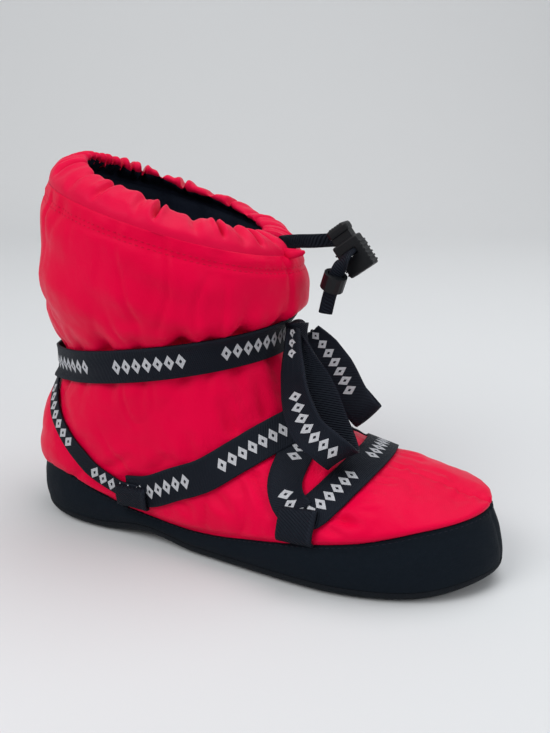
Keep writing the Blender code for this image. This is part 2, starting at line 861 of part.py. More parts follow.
def lock_frame():
    # The lock's own axes: x across the cord, y the way the cord runs through, z out of the button.
    place = Vector((upper_sections()[-1]["front"] + LOCK_AHEAD, LOCK_TO_LEFT, LOCK_HEIGHT))
    axis = Vector((math.sin(LOCK_TILT), 0, math.cos(LOCK_TILT)))
    through = Vector((0, -1, 0))
    across = through.cross(axis)
    return Matrix((across, through, axis)).transposed().to_4x4(), place


def make_lock(finish):
    turn, place = lock_frame()
    frame = Matrix.Translation(place) @ turn
    inner_width = LOCK_WIDTH - 2 * LOCK_WALL
    inner_depth = LOCK_DEPTH - 2 * LOCK_WALL
    slot = (CORD_WIDTH + 3 * BUTTON_FIT, LOCK_DEPTH * 2, CORD_THICKNESS + 3 * BUTTON_FIT)
    block = box((LOCK_WIDTH, LOCK_DEPTH, LOCK_LENGTH), (0, 0, 0), frame, 0.0012)
    body = finish_object(block, "cord_lock_body", finish)
    cut(body, box((inner_width, inner_depth, LOCK_LENGTH), (0, 0, LOCK_FLOOR), frame))
    cut(body, box(slot, (0, 0, CORD_SLOT_AT), frame))
    # The button stands out by its travel, its slot clear of the cord all the way down.
    top = LOCK_LENGTH / 2 + BUTTON_TRAVEL + BUTTON_FIT
    cap = (BUTTON_WIDTH, BUTTON_DEPTH, BUTTON_HEIGHT)
    pressed = box(cap, (0, 0, top + BUTTON_HEIGHT / 2), frame, 0.0018)
    button = finish_object(pressed, "cord_lock_button", finish)
    bottom = -LOCK_LENGTH / 2 + LOCK_FLOOR + BUTTON_TRAVEL + BUTTON_FIT
    stem = (inner_width - 2 * BUTTON_FIT, inner_depth - 2 * BUTTON_FIT, top - bottom + 0.001)
    join(button, finish_object(box(stem, (0, 0, (top + 0.001 + bottom) / 2), frame), "stem", finish))
    tall = slot[2] + BUTTON_TRAVEL
    cut(button, box((slot[0], slot[1], tall), (0, 0, CORD_SLOT_AT + BUTTON_TRAVEL / 2), frame))


def drawcord_places():
    _, place = lock_frame()
    places = [Vector(row[:3]) * CORD_REACH + place for row in DRAWCORD]
    return places


def make_drawcord(finish):
    rows = between([tuple(p) + row[3:] for p, row in zip(drawcord_places(), DRAWCORD)], 3)
    bm = bmesh.new()
    loops = []
    last = len(rows) - 1
    for i, row in enumerate(rows):
        along = (Vector(rows[min(i + 1, last)][:3]) - Vector(rows[max(i - 1, 0)][:3])).normalized()
        wide = Vector(row[3:])
        wide = (wide - along * wide.dot(along)).normalized() * CORD_WIDTH / 2
        out = along.cross(wide).normalized() * CORD_THICKNESS / 2
        place = Vector(row[:3])
        low, high = place - out, place + out
        loops.append(verts(bm, [low - wide, low + wide, high + wide, high - wide]))
    skin(bm, loops)
    bm.faces.new(loops[0])
    bm.faces.new(loops[-1])
    return finish_object(bm, "drawcord", finish)


def make_cord_stop(finish):
    places = drawcord_places()
    along = (places[STOP_ROW + 1] - places[STOP_ROW - 1]).normalized()
    wide = Vector(DRAWCORD[STOP_ROW][3:])
    wide = (wide - along * wide.dot(along)).normalized()
    turned = Matrix((wide, along.cross(wide), along)).transposed().to_4x4()
    frame = Matrix.Translation(places[STOP_ROW]) @ turned
    bm = bmesh.new()
    bmesh.ops.create_cone(
        bm,
        cap_ends=True,
        segments=16,
        radius1=STOP_WIDTH / 2,
        radius2=STOP_WIDTH / 2,
        depth=STOP_LENGTH,
        matrix=frame,
    )
    stop = finish_object(bm, "cord_stop", finish)
    slot = (CORD_WIDTH + 4 * FIT_GAP, CORD_THICKNESS + 4 * FIT_GAP, STOP_LENGTH * 2)
    cut(stop, box(slot, (0, 0, 0), frame))
    return stop


def clear_scene():
    for found in list(bpy.data.objects):
        bpy.data.objects.remove(found)


def main():
    clear_scene()
    red_nylon = material("red_nylon", (0.72, 0.004, 0.045), 0.45)
    black_fabric = material("black_fabric", (0.010, 0.011, 0.015), 0.7)
    plastic = material("black_plastic", (0.012, 0.012, 0.014), 0.4)
    webbing = material("black_webbing", (0.012, 0.014, 0.022), 0.6)
    foam = material("foam", (0.03, 0.03, 0.04), 0.9)
    make_outsole(black_fabric)
    make_rand(black_fabric)
    make_insole(foam)
    upper = make_upper(red_nylon)
    make_casing(red_nylon)
    tree = tree_of(upper)
    make_lacing(tree, webbing)
    make_ankle_band(tree, webbing)
    for side, word in ((1, "right"), (-1, "left")):
        make_loop("loop_ball_" + word, tree, BALL_LOOP_AT, side, LOOP_HEIGHT, webbing)
        make_loop("loop_heel_" + word, tree, HEEL_LOOP_AT, side, LOOP_HEIGHT * 0.8, webbing)
    make_drawcord(webbing)
    make_lock(plastic)
    make_cord_stop(plastic)
    make_knot(webbing)
    facing = WEBBING_FACING
    make_bow_loop("bow_loop_right", BOW_RIGHT, facing["right_flat"], facing["right_edge"], webbing)
    make_bow_loop("bow_loop_left", BOW_LEFT, facing["left"], facing["left"], webbing)


main()
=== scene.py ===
# The looks of an insulated snow boot: red nylon shell, black rand and sole, webbing lacing, drawcord collar.
# Metres, in the frame's own axes: x to the toe, y to the wearer's left, z up.
import math

import bmesh
import bpy
import numpy as np
from mathutils import Matrix, Vector, noise
from mathutils.bvhtree import BVHTree


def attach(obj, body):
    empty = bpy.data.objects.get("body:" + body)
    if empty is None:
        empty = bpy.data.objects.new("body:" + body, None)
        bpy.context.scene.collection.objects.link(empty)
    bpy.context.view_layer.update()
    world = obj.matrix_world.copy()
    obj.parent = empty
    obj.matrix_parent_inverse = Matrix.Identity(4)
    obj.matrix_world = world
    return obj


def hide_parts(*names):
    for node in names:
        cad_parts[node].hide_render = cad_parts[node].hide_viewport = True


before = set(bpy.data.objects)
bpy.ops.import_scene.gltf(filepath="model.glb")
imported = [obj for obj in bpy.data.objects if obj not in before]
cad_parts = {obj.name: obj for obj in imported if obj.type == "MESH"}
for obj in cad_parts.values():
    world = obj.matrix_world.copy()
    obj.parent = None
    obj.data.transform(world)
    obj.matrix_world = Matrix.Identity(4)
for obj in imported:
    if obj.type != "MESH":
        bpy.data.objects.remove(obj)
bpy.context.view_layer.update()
print("frame loaded")


# The sizes that the solids were made from
foot = {
    "length": 0.300,
    "ball": 0.122,
    "heel": 0.098,
    "toeLean": -0.005,
    "soleThickness": 0.007,
    "soleEdge": 0.009,
    "archLift": 0.004,
    "toeSpring": 0.006,
    "randToeHeight": 0.045,
    "randWall": 0.004,
    "randBulge": 0.002,
    "fit": 0.0003,
    "wall": 0.008,
}
shaft = {
    "ankleBack": -0.130,
    "ankleFront": 0.010,
    "ankleBackHeight": 0.100,
    "ankleFrontHeight": 0.126,
    "ankleWidth": 0.112,
    "back": -0.139,
    "front": 0.019,
    "width": 0.134,
    "collarBackHeight": 0.212,
    "collarFrontHeight": 0.174,
    "sideDrop": 0.010,
}
webbing = {"width": 0.0195, "folded": 0.010, "thickness": 0.0013, "clearance": 0.0009}
randEdge = [
    # along the sole, share of the toe height
    (0.00, 0.85), (0.10, 0.81), (0.16, 0.70), (0.21, 0.57), (0.28, 0.45), (0.40, 0.38),
    (0.48, 0.40), (0.56, 0.49), (0.66, 0.61), (0.78, 0.75), (0.88, 0.91), (1.00, 1.00),
]
footSections = [
    # back, front, backRise, frontRise, heel, ball, heelAt, ballAt, heelPower, toePower
    (0.006, 0.968, 0.00, 0.000, 0.98, 0.985, 0.20, 0.69, 2.3, 1.85),
    (0.000, 0.962, 0.07, 0.070, 1.03, 1.000, 0.21, 0.68, 2.3, 1.90),
    (-0.003, 0.925, 0.15, 0.125, 1.06, 0.980, 0.22, 0.66, 2.2, 1.95),
    (-0.004, 0.880, 0.23, 0.165, 1.07, 0.940, 0.24, 0.64, 2.2, 2.00),
    (-0.004, 0.822, 0.31, 0.196, 1.07, 0.890, 0.26, 0.60, 2.1, 2.00),
    (0.000, 0.748, 0.40, 0.228, 1.07, 0.860, 0.29, 0.54, 2.1, 2.00),
    (0.008, 0.668, 0.50, 0.285, 1.07, 0.850, 0.33, 0.50, 2.1, 2.00),
    (0.019, 0.605, 0.61, 0.420, 1.07, 0.850, 0.38, 0.50, 2.0, 2.00),
    (0.036, 0.568, 0.74, 0.610, 1.08, 0.860, 0.44, 0.50, 2.0, 2.00),
    (0.056, 0.545, 0.87, 0.800, 1.11, 0.890, 0.48, 0.50, 2.0, 2.00),
    (0.065, 0.535, 0.94, 0.910, 1.13, 0.910, 0.50, 0.50, 2.0, 2.00),
]
shaftSections = [
    # climb, back, front, side
    (0.00, 0.00, 0.00, 0.00),
    (0.08, 0.04, 0.05, 0.04),
    (0.17, 0.36, 0.36, 0.34),
    (0.30, 0.82, 0.78, 0.74),
    (0.46, 1.00, 0.98, 0.94),
    (0.66, 0.90, 1.00, 1.00),
    (0.84, 0.60, 0.85, 0.96),
    (1.00, 0.25, 0.65, 0.88),
]


def mix(a, b, t):
    return a + (b - a) * t


def smooth(t):
    t = np.clip(t, 0.0, 1.0)
    return t * t * (3 - 2 * t)


def hill(at, middle, reach):
    # A soft hill, 1 at its middle and 0 from its reach on
    away = np.minimum(np.abs(np.asarray(at) - middle) / reach, 1.0)
    return (1 + np.cos(math.pi * away)) / 2


def catmull(a, b, c, d, t):
    return 0.5 * (2 * b + (c - a) * t + (2 * a - 5 * b + 4 * c - d) * t * t + (3 * b - a - 3 * c + d) * t**3)


def curveRows(rows, steps):
    # Smooth rows through the given rows, steps to each gap
    rows = [np.asarray(row, float) for row in rows]
    last = len(rows) - 1
    made = []
    for i in range(last):
        near = [rows[min(max(k, 0), last)] for k in range(i - 1, i + 3)]
        made += [catmull(*near, step / steps) for step in range(steps)]
    return np.array(made + [rows[-1]])


def randTop(share):
    share = np.clip(share, 0, 1)
    k = np.clip(np.searchsorted([row[0] for row in randEdge], share, side="right") - 1, 0, len(randEdge) - 2)
    a = np.array([row[0] for row in randEdge])
    h = np.array([row[1] for row in randEdge])
    t = (share - a[k]) / (a[k + 1] - a[k])
    last = len(randEdge) - 1
    near = [h[np.clip(k + j, 0, last)] for j in (-1, 0, 1, 2)]
    return foot["randToeHeight"] * catmull(*near, t)


def footX(share):
    return foot["length"] * (share - 0.5)


def shareOf(x):
    return x / foot["length"] + 0.5


def floorRise(share):
    return foot["archLift"] * hill(share, 0.32, 0.12) + foot["toeSpring"] * smooth((share - 0.82) / 0.18) ** 2


def leanAt(share):
    # How far the toe's end leans from the middle line
    return foot["toeLean"] * smooth((share - 0.45) / 0.55)


def halfWidth(at, heel, ball, heelAt, ballAt, heelPower, toePower):
    back = heel * (1 - np.clip(1 - at / heelAt, 0, 1) ** heelPower) ** (1 / heelPower)
    middle = mix(heel, ball, smooth((at - heelAt) / max(ballAt - heelAt, 1e-6)))
    front = ball * (1 - np.clip((at - ballAt) / (1 - ballAt), 0, 1) ** toePower) ** (1 / toePower)
    return np.where(at < heelAt, back, np.where(at < ballAt, middle, front))


def ringOf(s, count):
    # A section's ring, evenly spaced from the toe along the right side to the heel and back
    at = (1 + np.cos(np.linspace(0, math.pi, 961))) / 2
    x = mix(s["back"], s["front"], at)
    y = halfWidth(at, *s["shape"])
    run = np.concatenate([[0], np.cumsum(np.hypot(np.diff(x), np.diff(y)))])
    goal = np.linspace(0, run[-1], count // 2 + 1)
    half = [np.interp(goal, run, line) for line in (x, y, at)]
    x, at = (np.concatenate([line, line[1:-1][::-1]]) for line in (half[0], half[2]))
    y = np.concatenate([-half[1], half[1][1:-1][::-1]])
    share = shareOf(x)
    z = mix(s["backZ"], s["frontZ"], at)
    z = z + s["seam"] * (randTop(share) + foot["fit"] - z) - s["drop"] * y / s["shape"][1] / 2
    return np.stack([x, y + leanAt(share) * s["lean"], z], axis=1)


def insetRing(ring, depth):
    along = np.roll(ring, -1, axis=0) - np.roll(ring, 1, axis=0)
    along[:, 2] = 0
    along /= np.linalg.norm(along, axis=1, keepdims=True)
    inwards = np.stack([along[:, 1], -along[:, 0], along[:, 0] * 0], axis=1)
    return ring + inwards * depth


def upperSections():
    seamBack = float(randTop(0.0)) + foot["fit"]
    seamFront = float(randTop(1.0)) + foot["fit"]
    made = []
    for back, front, backRise, frontRise, heel, ball, *rest in footSections:
        made.append({
            "back": footX(back),
            "front": footX(front),
            "backZ": mix(seamBack, shaft["ankleBackHeight"], backRise),
            "frontZ": mix(seamFront, shaft["ankleFrontHeight"], frontRise),
            "seam": max(0.0, 1 - backRise / 0.6) ** 2,
            "drop": 0.0,
            "lean": 1 - backRise,
            "shape": (heel * foot["heel"] / 2, ball * foot["ball"] / 2, *rest),
        })
    for climb, back, front, side in shaftSections:
        width = mix(shaft["ankleWidth"], shaft["width"], side) / 2
        made.append({
            "back": mix(shaft["ankleBack"], shaft["back"], back),
            "front": mix(shaft["ankleFront"], shaft["front"], front),
            "backZ": mix(shaft["ankleBackHeight"], shaft["collarBackHeight"], climb),
            "frontZ": mix(shaft["ankleFrontHeight"], shaft["collarFrontHeight"], climb),
            "seam": 0.0,
            "drop": shaft["sideDrop"] * climb,
            "lean": 0.0,
            "shape": (width, width, 0.5, 0.5, 2.1, 2.1),
        })
    return made


def soleRing(depth, height, count):
    shape = (foot["heel"] / 2, foot["ball"] / 2, 0.20, 0.69, 2.3, 1.85)
    ends = {"back": footX(0), "front": footX(1), "backZ": 0, "frontZ": 0}
    ring = insetRing(ringOf({**ends, "seam": 0, "drop": 0, "lean": 1, "shape": shape}, count), depth)
    ring[:, 2] = height + floorRise(shareOf(ring[:, 0]))
    return ring


def facing(places, closed=True):
    # Outward directions of a stack of rings, rows by columns
    if closed:
        across = np.roll(places, -1, axis=1) - np.roll(places, 1, axis=1)
    else:
        across = np.gradient(places, axis=1)
    made = np.cross(np.gradient(places, axis=0), across)
    return made / np.maximum(np.linalg.norm(made, axis=2, keepdims=True), 1e-12)


def ripple(places, size, seed):
    # Smooth noise from -1 to 1 at each place; size is the length of one wave
    flat = places.reshape(-1, 3) / size + seed
    return np.array([noise.noise(Vector(p)) for p in flat]).reshape(places.shape[:-1])


def unit(vector):
    vector = np.asarray(vector, float)
    return vector / np.maximum(np.linalg.norm(vector, axis=-1, keepdims=True), 1e-12)


def runAlong(places):
    # The length from the first place to each place of a line
    return np.concatenate([[0], np.cumsum(np.linalg.norm(np.diff(places, axis=0), axis=1))])


def placesAt(goal, run, places):
    return np.stack([np.interp(goal, run, places[:, k]) for k in range(3)], axis=1)


def gridPiece(name, places, materials, uvSize=(1, 1), closed=(False, False), rowMaterial=None, flip=False):
    # A grid laid on rows by columns of places. closed: whether its last column and last row meet the first
    if closed[0]:
        places = np.concatenate([places, places[:, :1]], axis=1)
    if closed[1]:
        places = np.concatenate([places, places[:1]], axis=0)
    rows, columns = places.shape[:2]
    bm = bmesh.new()
    bm.loops.layers.uv.new("UVMap")
    bmesh.ops.create_grid(bm, x_segments=columns - 1, y_segments=rows - 1, size=0.5, calc_uvs=True)
    mesh = bpy.data.meshes.new(name)
    bm.to_mesh(mesh)
    bm.free()
    co = np.empty(len(mesh.vertices) * 3)
    mesh.vertices.foreach_get("co", co)
    co = co.reshape(-1, 3)
    column = np.rint((co[:, 0] + 0.5) * (columns - 1)).astype(int)
    row = np.rint((co[:, 1] + 0.5) * (rows - 1)).astype(int)
    mesh.vertices.foreach_set("co", places[row, column].ravel())
    uv = np.empty(len(mesh.loops) * 2)
    mesh.uv_layers[0].data.foreach_get("uv", uv)
    uv = uv.reshape(-1, 2) * np.array(uvSize)
    mesh.uv_layers[0].data.foreach_set("uv", uv.ravel())
    for finish in materials:
        mesh.materials.append(finish)
    if rowMaterial is not None:
        for face in mesh.polygons:
            face.material_index = rowMaterial[min(row[v] for v in face.vertices)]
    bm = bmesh.new()
    bm.from_mesh(mesh)
    bmesh.ops.remove_doubles(bm, verts=bm.verts[:], dist=1e-6)
    if flip:
        bmesh.ops.reverse_faces(bm, faces=bm.faces[:])
    bm.to_mesh(mesh)
    bm.free()
    mesh.shade_smooth()
    made = bpy.data.objects.new(name, mesh)
    bpy.context.scene.collection.objects.link(made)
    return made


def treeOf(made):
    made.data.calc_loop_triangles()
    corners = [tuple(t.vertices) for t in made.data.loop_triangles]
    return BVHTree.FromPolygons([v.co for v in made.data.vertices], corners)


# Camera, on the photograph's line of sight, and lights
view = {
    "place": (0.2182, -0.4829, 0.2692),
    "aim": (0.0056, 0.0043, 0.1047),
    "lens": 60.7,
    "sensor": 36.0,
    "roll": 0.63,
}
studio = {"colour": (0.80, 0.81, 0.82), "strength": 0.58, "lampsAim": (0, 0, 0.1)}
lamps = [
    # name, place, size, watts, colour
    ("keyLight", (-0.55, -1.10, 1.25), 1.1, 14.0, (1.0, 0.99, 0.98)),
    ("topLight", (0.25, 0.35, 1.45), 1.2, 10.0, (0.98, 0.99, 1.0)),
    ("sideLight", (1.30, -0.45, 0.75), 0.9, 4.0, (1.0, 1.0, 1.0)),
]


def aimAt(made, place, target):
    made.location = place
    made.rotation_euler = (Vector(target) - Vector(place)).to_track_quat("-Z", "Y").to_euler()
    bpy.context.scene.collection.objects.link(made)


cameraData = bpy.data.cameras.new("camera")
cameraData.sensor_fit = "HORIZONTAL"
cameraData.sensor_width = view["sensor"]
cameraData.lens = view["lens"]
camera = bpy.data.objects.new("camera", cameraData)
aimAt(camera, view["place"], view["aim"])
camera.rotation_euler.rotate_axis("Z", math.radians(view["roll"]))
bpy.context.scene.camera = camera
for name, place, size, watts, colour in lamps:
    light = bpy.data.lights.new(name, "AREA")
    light.shape = "DISK"
    light.size = size
    light.energy = watts
    light.color = colour
    aimAt(bpy.data.objects.new(name, light), place, studio["lampsAim"])
world = bpy.data.worlds.new("studio")
world.use_nodes = True
background = world.node_tree.nodes["Background"]
background.inputs["Color"].default_value = (*studio["colour"], 1)
background.inputs["Strength"].default_value = studio["strength"]
bpy.context.scene.world = world
bpy.context.scene.view_settings.view_transform = "Standard"
print("camera and lights")


# Shader helpers
def joinNodes(tree, value, socket):
    if isinstance(value, (int, float)):
        socket.default_value = value
    else:
        tree.links.new(value, socket)


def calc(tree, operation, a, b=0.0, clamp=False):
    node = tree.nodes.new("ShaderNodeMath")
    node.operation = operation
    node.use_clamp = clamp
    joinNodes(tree, a, node.inputs[0])
    joinNodes(tree, b, node.inputs[1])
    return node.outputs[0]


def newGroup(name, outputs, **values):
    # A shader group that takes a vector and named floats, and puts out named floats
    group = bpy.data.node_groups.new(name, "ShaderNodeTree")
    group.interface.new_socket("Vector", in_out="INPUT", socket_type="NodeSocketVector")
    for label, value in values.items():
        socket = group.interface.new_socket(label, in_out="INPUT", socket_type="NodeSocketFloat")
        socket.default_value = value
    for label in outputs:
        group.interface.new_socket(label, in_out="OUTPUT", socket_type="NodeSocketFloat")
    return group, group.nodes.new("NodeGroupInput").outputs, group.nodes.new("NodeGroupOutput").inputs


def noiseOf(tree, vector, scale, detail=3.0):
    node = tree.nodes.new("ShaderNodeTexNoise")
    joinNodes(tree, vector, node.inputs["Vector"])
    joinNodes(tree, scale, node.inputs["Scale"])
    node.inputs["Detail"].default_value = detail
    return node.outputs["Fac"]


def weaveGroup():
    # Crossed threads on a piece's UV, in metres: Pitch is one thread
    group, given, out = newGroup("plainWeave", ["Height"], Pitch=0.0008)
    parts = group.nodes.new("ShaderNodeSeparateXYZ")
    group.links.new(given["Vector"], parts.inputs[0])
    turns = calc(group, "DIVIDE", math.pi, given["Pitch"])
    warp = calc(group, "SINE", calc(group, "MULTIPLY", parts.outputs[0], turns))
    weft = calc(group, "SINE", calc(group, "MULTIPLY", parts.outputs[1], turns))
    joinNodes(group, calc(group, "MULTIPLY", calc(group, "MULTIPLY", warp, weft), 0.5), out["Height"])
    return group


def ribGroup():
    # Slanted ribs across a strip whose UV is in metres: x across, y along
    sizes = {"Pitch": 0.0013, "Slant": 0.6, "Width": webbing["width"]}
    group, given, out = newGroup("slantedRib", ["Height", "Edge"], **sizes)
    parts = group.nodes.new("ShaderNodeSeparateXYZ")
    group.links.new(given["Vector"], parts.inputs[0])
    run = calc(group, "ADD", parts.outputs[1], calc(group, "MULTIPLY", parts.outputs[0], given["Slant"]))
    wave = calc(group, "SINE", calc(group, "MULTIPLY", run, calc(group, "DIVIDE", math.tau, given["Pitch"])))
    across = calc(group, "DIVIDE", parts.outputs[0], given["Width"])
    away = calc(group, "ABSOLUTE", calc(group, "SUBTRACT", across, 0.5))
    edge = calc(group, "MULTIPLY", calc(group, "SUBTRACT", away, 0.42), 20.0, clamp=True)
    joinNodes(group, edge, out["Edge"])
    joinNodes(group, calc(group, "ADD", wave, calc(group, "MULTIPLY", edge, 1.5)), out["Height"])
    return group


def diamondGroup():
    # A row of small diamonds in short runs along a strip
    sizes = {"Width": webbing["width"], "Start": 0.0, "Period": 0.064, "Run": 0.0455}
    group, given, out = newGroup("diamondRun", ["Mask"], **sizes)
    diamond = {"pitch": 0.0065, "halfLength": 0.0029, "halfHeight": 0.0046, "heart": 0.30}
    parts = group.nodes.new("ShaderNodeSeparateXYZ")
    group.links.new(given["Vector"], parts.inputs[0])
    run = calc(group, "MODULO", calc(group, "ADD", parts.outputs[1], given["Start"]), given["Period"])
    cell = calc(group, "SUBTRACT", calc(group, "MODULO", run, diamond["pitch"]), diamond["pitch"] / 2)
    along = calc(group, "DIVIDE", calc(group, "ABSOLUTE", cell), diamond["halfLength"])
    off = calc(group, "SUBTRACT", parts.outputs[0], calc(group, "MULTIPLY", given["Width"], 0.5))
    across = calc(group, "DIVIDE", calc(group, "ABSOLUTE", off), diamond["halfHeight"])
    reach = calc(group, "ADD", along, across)
    inside = calc(group, "LESS_THAN", reach, 1.0)
    filled = calc(group, "MULTIPLY", inside, calc(group, "GREATER_THAN", reach, diamond["heart"]))
    inRun = calc(group, "LESS_THAN", run, given["Run"])
    joinNodes(group, calc(group, "MULTIPLY", filled, inRun), out["Mask"])
    return group


def toneGroup():
    # Broad and fine unevenness of a dyed or moulded surface, 0 to 1
    group, given, out = newGroup("unevenTone", ["Broad", "Fine"], Size=0.03)
    scale = calc(group, "DIVIDE", 1.0, given["Size"])
    joinNodes(group, noiseOf(group, given["Vector"], scale, 2.0), out["Broad"])
    joinNodes(group, noiseOf(group, given["Vector"], calc(group, "MULTIPLY", scale, 14.0), 5.0), out["Fine"])
    return group


groups = {"weave": weaveGroup(), "rib": ribGroup(), "diamond": diamondGroup(), "tone": toneGroup()}


class Finish:
    # A material being made: its nodes, links and shader
    def __init__(self, name, roughness, specular, tint=(1, 1, 1), sheen=0.0, sheenTint=(1, 1, 1)):
        self.material = bpy.data.materials.new(name)
        self.material.use_nodes = True
        self.tree = self.material.node_tree
        self.shader = self.tree.nodes["Principled BSDF"]
        self.shader.inputs["Roughness"].default_value = roughness
        self.shader.inputs["Specular IOR Level"].default_value = specular
        self.shader.inputs["Specular Tint"].default_value = (*tint, 1)
        self.shader.inputs["Sheen Weight"].default_value = sheen
        self.shader.inputs["Sheen Tint"].default_value = (*sheenTint, 1)
        self.shader.inputs["Sheen Roughness"].default_value = 0.45
        coordinates = self.tree.nodes.new("ShaderNodeTexCoord")
        self.place = coordinates.outputs["Object"]
        self.uv = coordinates.outputs["UV"]

    def group(self, name, vector, **values):
        node = self.tree.nodes.new("ShaderNodeGroup")
        node.node_tree = groups[name]
        self.tree.links.new(vector, node.inputs["Vector"])
        for label, value in values.items():
            node.inputs[label].default_value = value
        return node.outputs

    def blend(self, factor, low, high):
        node = self.tree.nodes.new("ShaderNodeMix")
        node.data_type = "RGBA"
        joinNodes(self.tree, factor, node.inputs[0])
        sockets = [s for s in node.inputs if s.type == "RGBA"]
        for value, socket in zip((low, high), sockets):
            if isinstance(value, tuple):
                socket.default_value = (*value, 1)
            else:
                self.tree.links.new(value, socket)
        return [s for s in node.outputs if s.type == "RGBA"][0]

    def colour(self, value):
        self.tree.links.new(value, self.shader.inputs["Base Color"])

    def bump(self, heights):
        # heights: pairs of a height and how far it stands, in metres
        normal = None
        for height, distance in heights:
            node = self.tree.nodes.new("ShaderNodeBump")
            node.inputs["Distance"].default_value = distance
            self.tree.links.new(height, node.inputs["Height"])
            if normal:
                self.tree.links.new(normal, node.inputs["Normal"])
            normal = node.outputs["Normal"]
        self.tree.links.new(normal, self.shader.inputs["Normal"])

    def rough(self, factor, low, high):
        node = self.tree.nodes.new("ShaderNodeMapRange")
        self.tree.links.new(factor, node.inputs["Value"])
        node.inputs["To Min"].default_value = low
        node.inputs["To Max"].default_value = high
        self.tree.links.new(node.outputs["Result"], self.shader.inputs["Roughness"])


def redNylon(name, dark, bright):
    made = Finish(name, 0.48, 0.14, (1.0, 0.25, 0.48), sheen=0.02, sheenTint=(1.0, 0.35, 0.6))
    tone = made.group("tone", made.place, Size=0.045)
    made.colour(made.blend(tone["Broad"], dark, bright))
    made.rough(tone["Fine"], 0.36, 0.52)
    weave = made.group("weave", made.uv, Pitch=0.0007)
    creases = made.group("tone", made.place, Size=0.016)
    made.bump([(creases["Broad"], 0.0010), (creases["Fine"], 0.00012), (weave["Height"], 0.00005)])
    return made.material


def blackCloth(name, low, high, pitch):
    made = Finish(name, 0.75, 0.12, (0.6, 0.8, 1.0))
    tone = made.group("tone", made.place, Size=0.03)
    made.colour(made.blend(tone["Fine"], low, high))
    made.rough(tone["Broad"], 0.62, 0.82)
    weave = made.group("weave", made.uv, Pitch=pitch)
    made.bump([(tone["Fine"], 0.0002), (weave["Height"], 0.00012)])
    return made.material


def webbingFinish(name, printed, width, start=0.0):
    made = Finish(name, 0.60, 0.16, (0.65, 0.8, 1.0))
    rib = made.group("rib", made.uv, Width=width, Pitch=0.0011 if printed else 0.0015)
    tone = made.group("tone", made.place, Size=0.02)
    body = made.blend(rib["Edge"], (0.0050, 0.0060, 0.0100), (0.0090, 0.0105, 0.0165))
    if printed:
        mask = made.group("diamond", made.uv, Width=width, Start=start)["Mask"]
        worn = made.blend(tone["Fine"], (0.34, 0.35, 0.38), (0.60, 0.61, 0.64))
        body = made.blend(mask, body, worn)
    made.colour(body)
    made.rough(tone["Fine"], 0.48, 0.66)
    made.bump([(tone["Fine"], 0.0001), (rib["Height"], 0.00010 if printed else 0.00022)])
    return made.material


def plasticFinish(name, colour, bright):
    made = Finish(name, 0.42, 0.20)
    tone = made.group("tone", made.place, Size=0.006)
    made.colour(made.blend(tone["Fine"], colour, bright))
    made.rough(tone["Broad"], 0.30, 0.48)
    made.bump([(tone["Fine"], 0.00006)])
    return made.material


finishes = {
    "shell": redNylon("red_nylon_shell", (0.64, 0.0002, 0.034), (0.77, 0.0005, 0.048)),
    "casing": redNylon("red_nylon_casing", (0.60, 0.002, 0.038), (0.72, 0.005, 0.055)),
    "thread": redNylon("red_thread", (0.50, 0.004, 0.034), (0.66, 0.008, 0.05)),
    "rand": blackCloth("black_rand_cloth", (0.0030, 0.0050, 0.0080), (0.0060, 0.0085, 0.0130), 0.0009),
    "sole": blackCloth("black_sole_cloth", (0.006, 0.007, 0.009), (0.013, 0.014, 0.017), 0.0022),
    "lining": blackCloth("navy_lining", (0.0090, 0.0120, 0.0230), (0.0180, 0.0230, 0.0400), 0.0008),
    "footbed": blackCloth("black_footbed", (0.010, 0.010, 0.013), (0.020, 0.020, 0.026), 0.0016),
    "printed": webbingFinish("printed_webbing", True, webbing["width"]),
    "bowPrinted": webbingFinish("bow_webbing", True, webbing["width"], start=0.038),
    "heelPrinted": webbingFinish("folded_webbing", True, webbing["folded"], start=0.01),
    "plainWeb": webbingFinish("plain_webbing", False, webbing["width"]),
    "cord": webbingFinish("drawcord_webbing", False, 0.008),
    "plastic": plasticFinish("black_plastic_gloss", (0.0030, 0.0036, 0.0048), (0.0065, 0.0075, 0.0095)),
    "greyPlastic": plasticFinish("grey_plastic", (0.0070, 0.0080, 0.0100), (0.0140, 0.0155, 0.0185)),
}
print("materials")


def settle(made, node, body="boot"):
    # Puts a finished piece on its body in the place of a solid
    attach(made, body)
    if node:
        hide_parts(node)
    return made


def thicken(made, thickness, backMaterial=0):
    shell = made.modifiers.new("thickness", "SOLIDIFY")
    shell.thickness = thickness
    shell.offset = -1
    shell.use_even_offset = False
    shell.material_offset = backMaterial
    return made


def closeHoles(made):
    # Fills the open ends of a finished mesh and turns its faces outwards
    bm = bmesh.new()
    bm.from_mesh(made.data)
    bmesh.ops.holes_fill(bm, edges=[e for e in bm.edges if e.is_boundary], sides=0)
    bmesh.ops.recalc_face_normals(bm, faces=bm.faces[:])
    bm.to_mesh(made.data)
    bm.free()


# The upper's smooth form, which everything on it is laid on
upperForm = {"columns": 288, "rowsPerSection": 6, "liningEvery": 3}
sectionRings = [ringOf(s, upperForm["columns"]).ravel() for s in upperSections()]
baseRings = curveRows(sectionRings, upperForm["rowsPerSection"])
baseRings = baseRings.reshape(len(baseRings), upperForm["columns"], 3)
baseFacing = facing(baseRings)
guide = gridPiece("guide", baseRings, [], closed=(True, False), flip=True)
guideTree = treeOf(guide)
bpy.data.objects.remove(guide)


def evenPath(points, step):
    fine = curveRows(points, 12)
    run = runAlong(fine)
    return placesAt(np.linspace(0, run[-1], max(2, round(run[-1] / step)) + 1), run, fine)


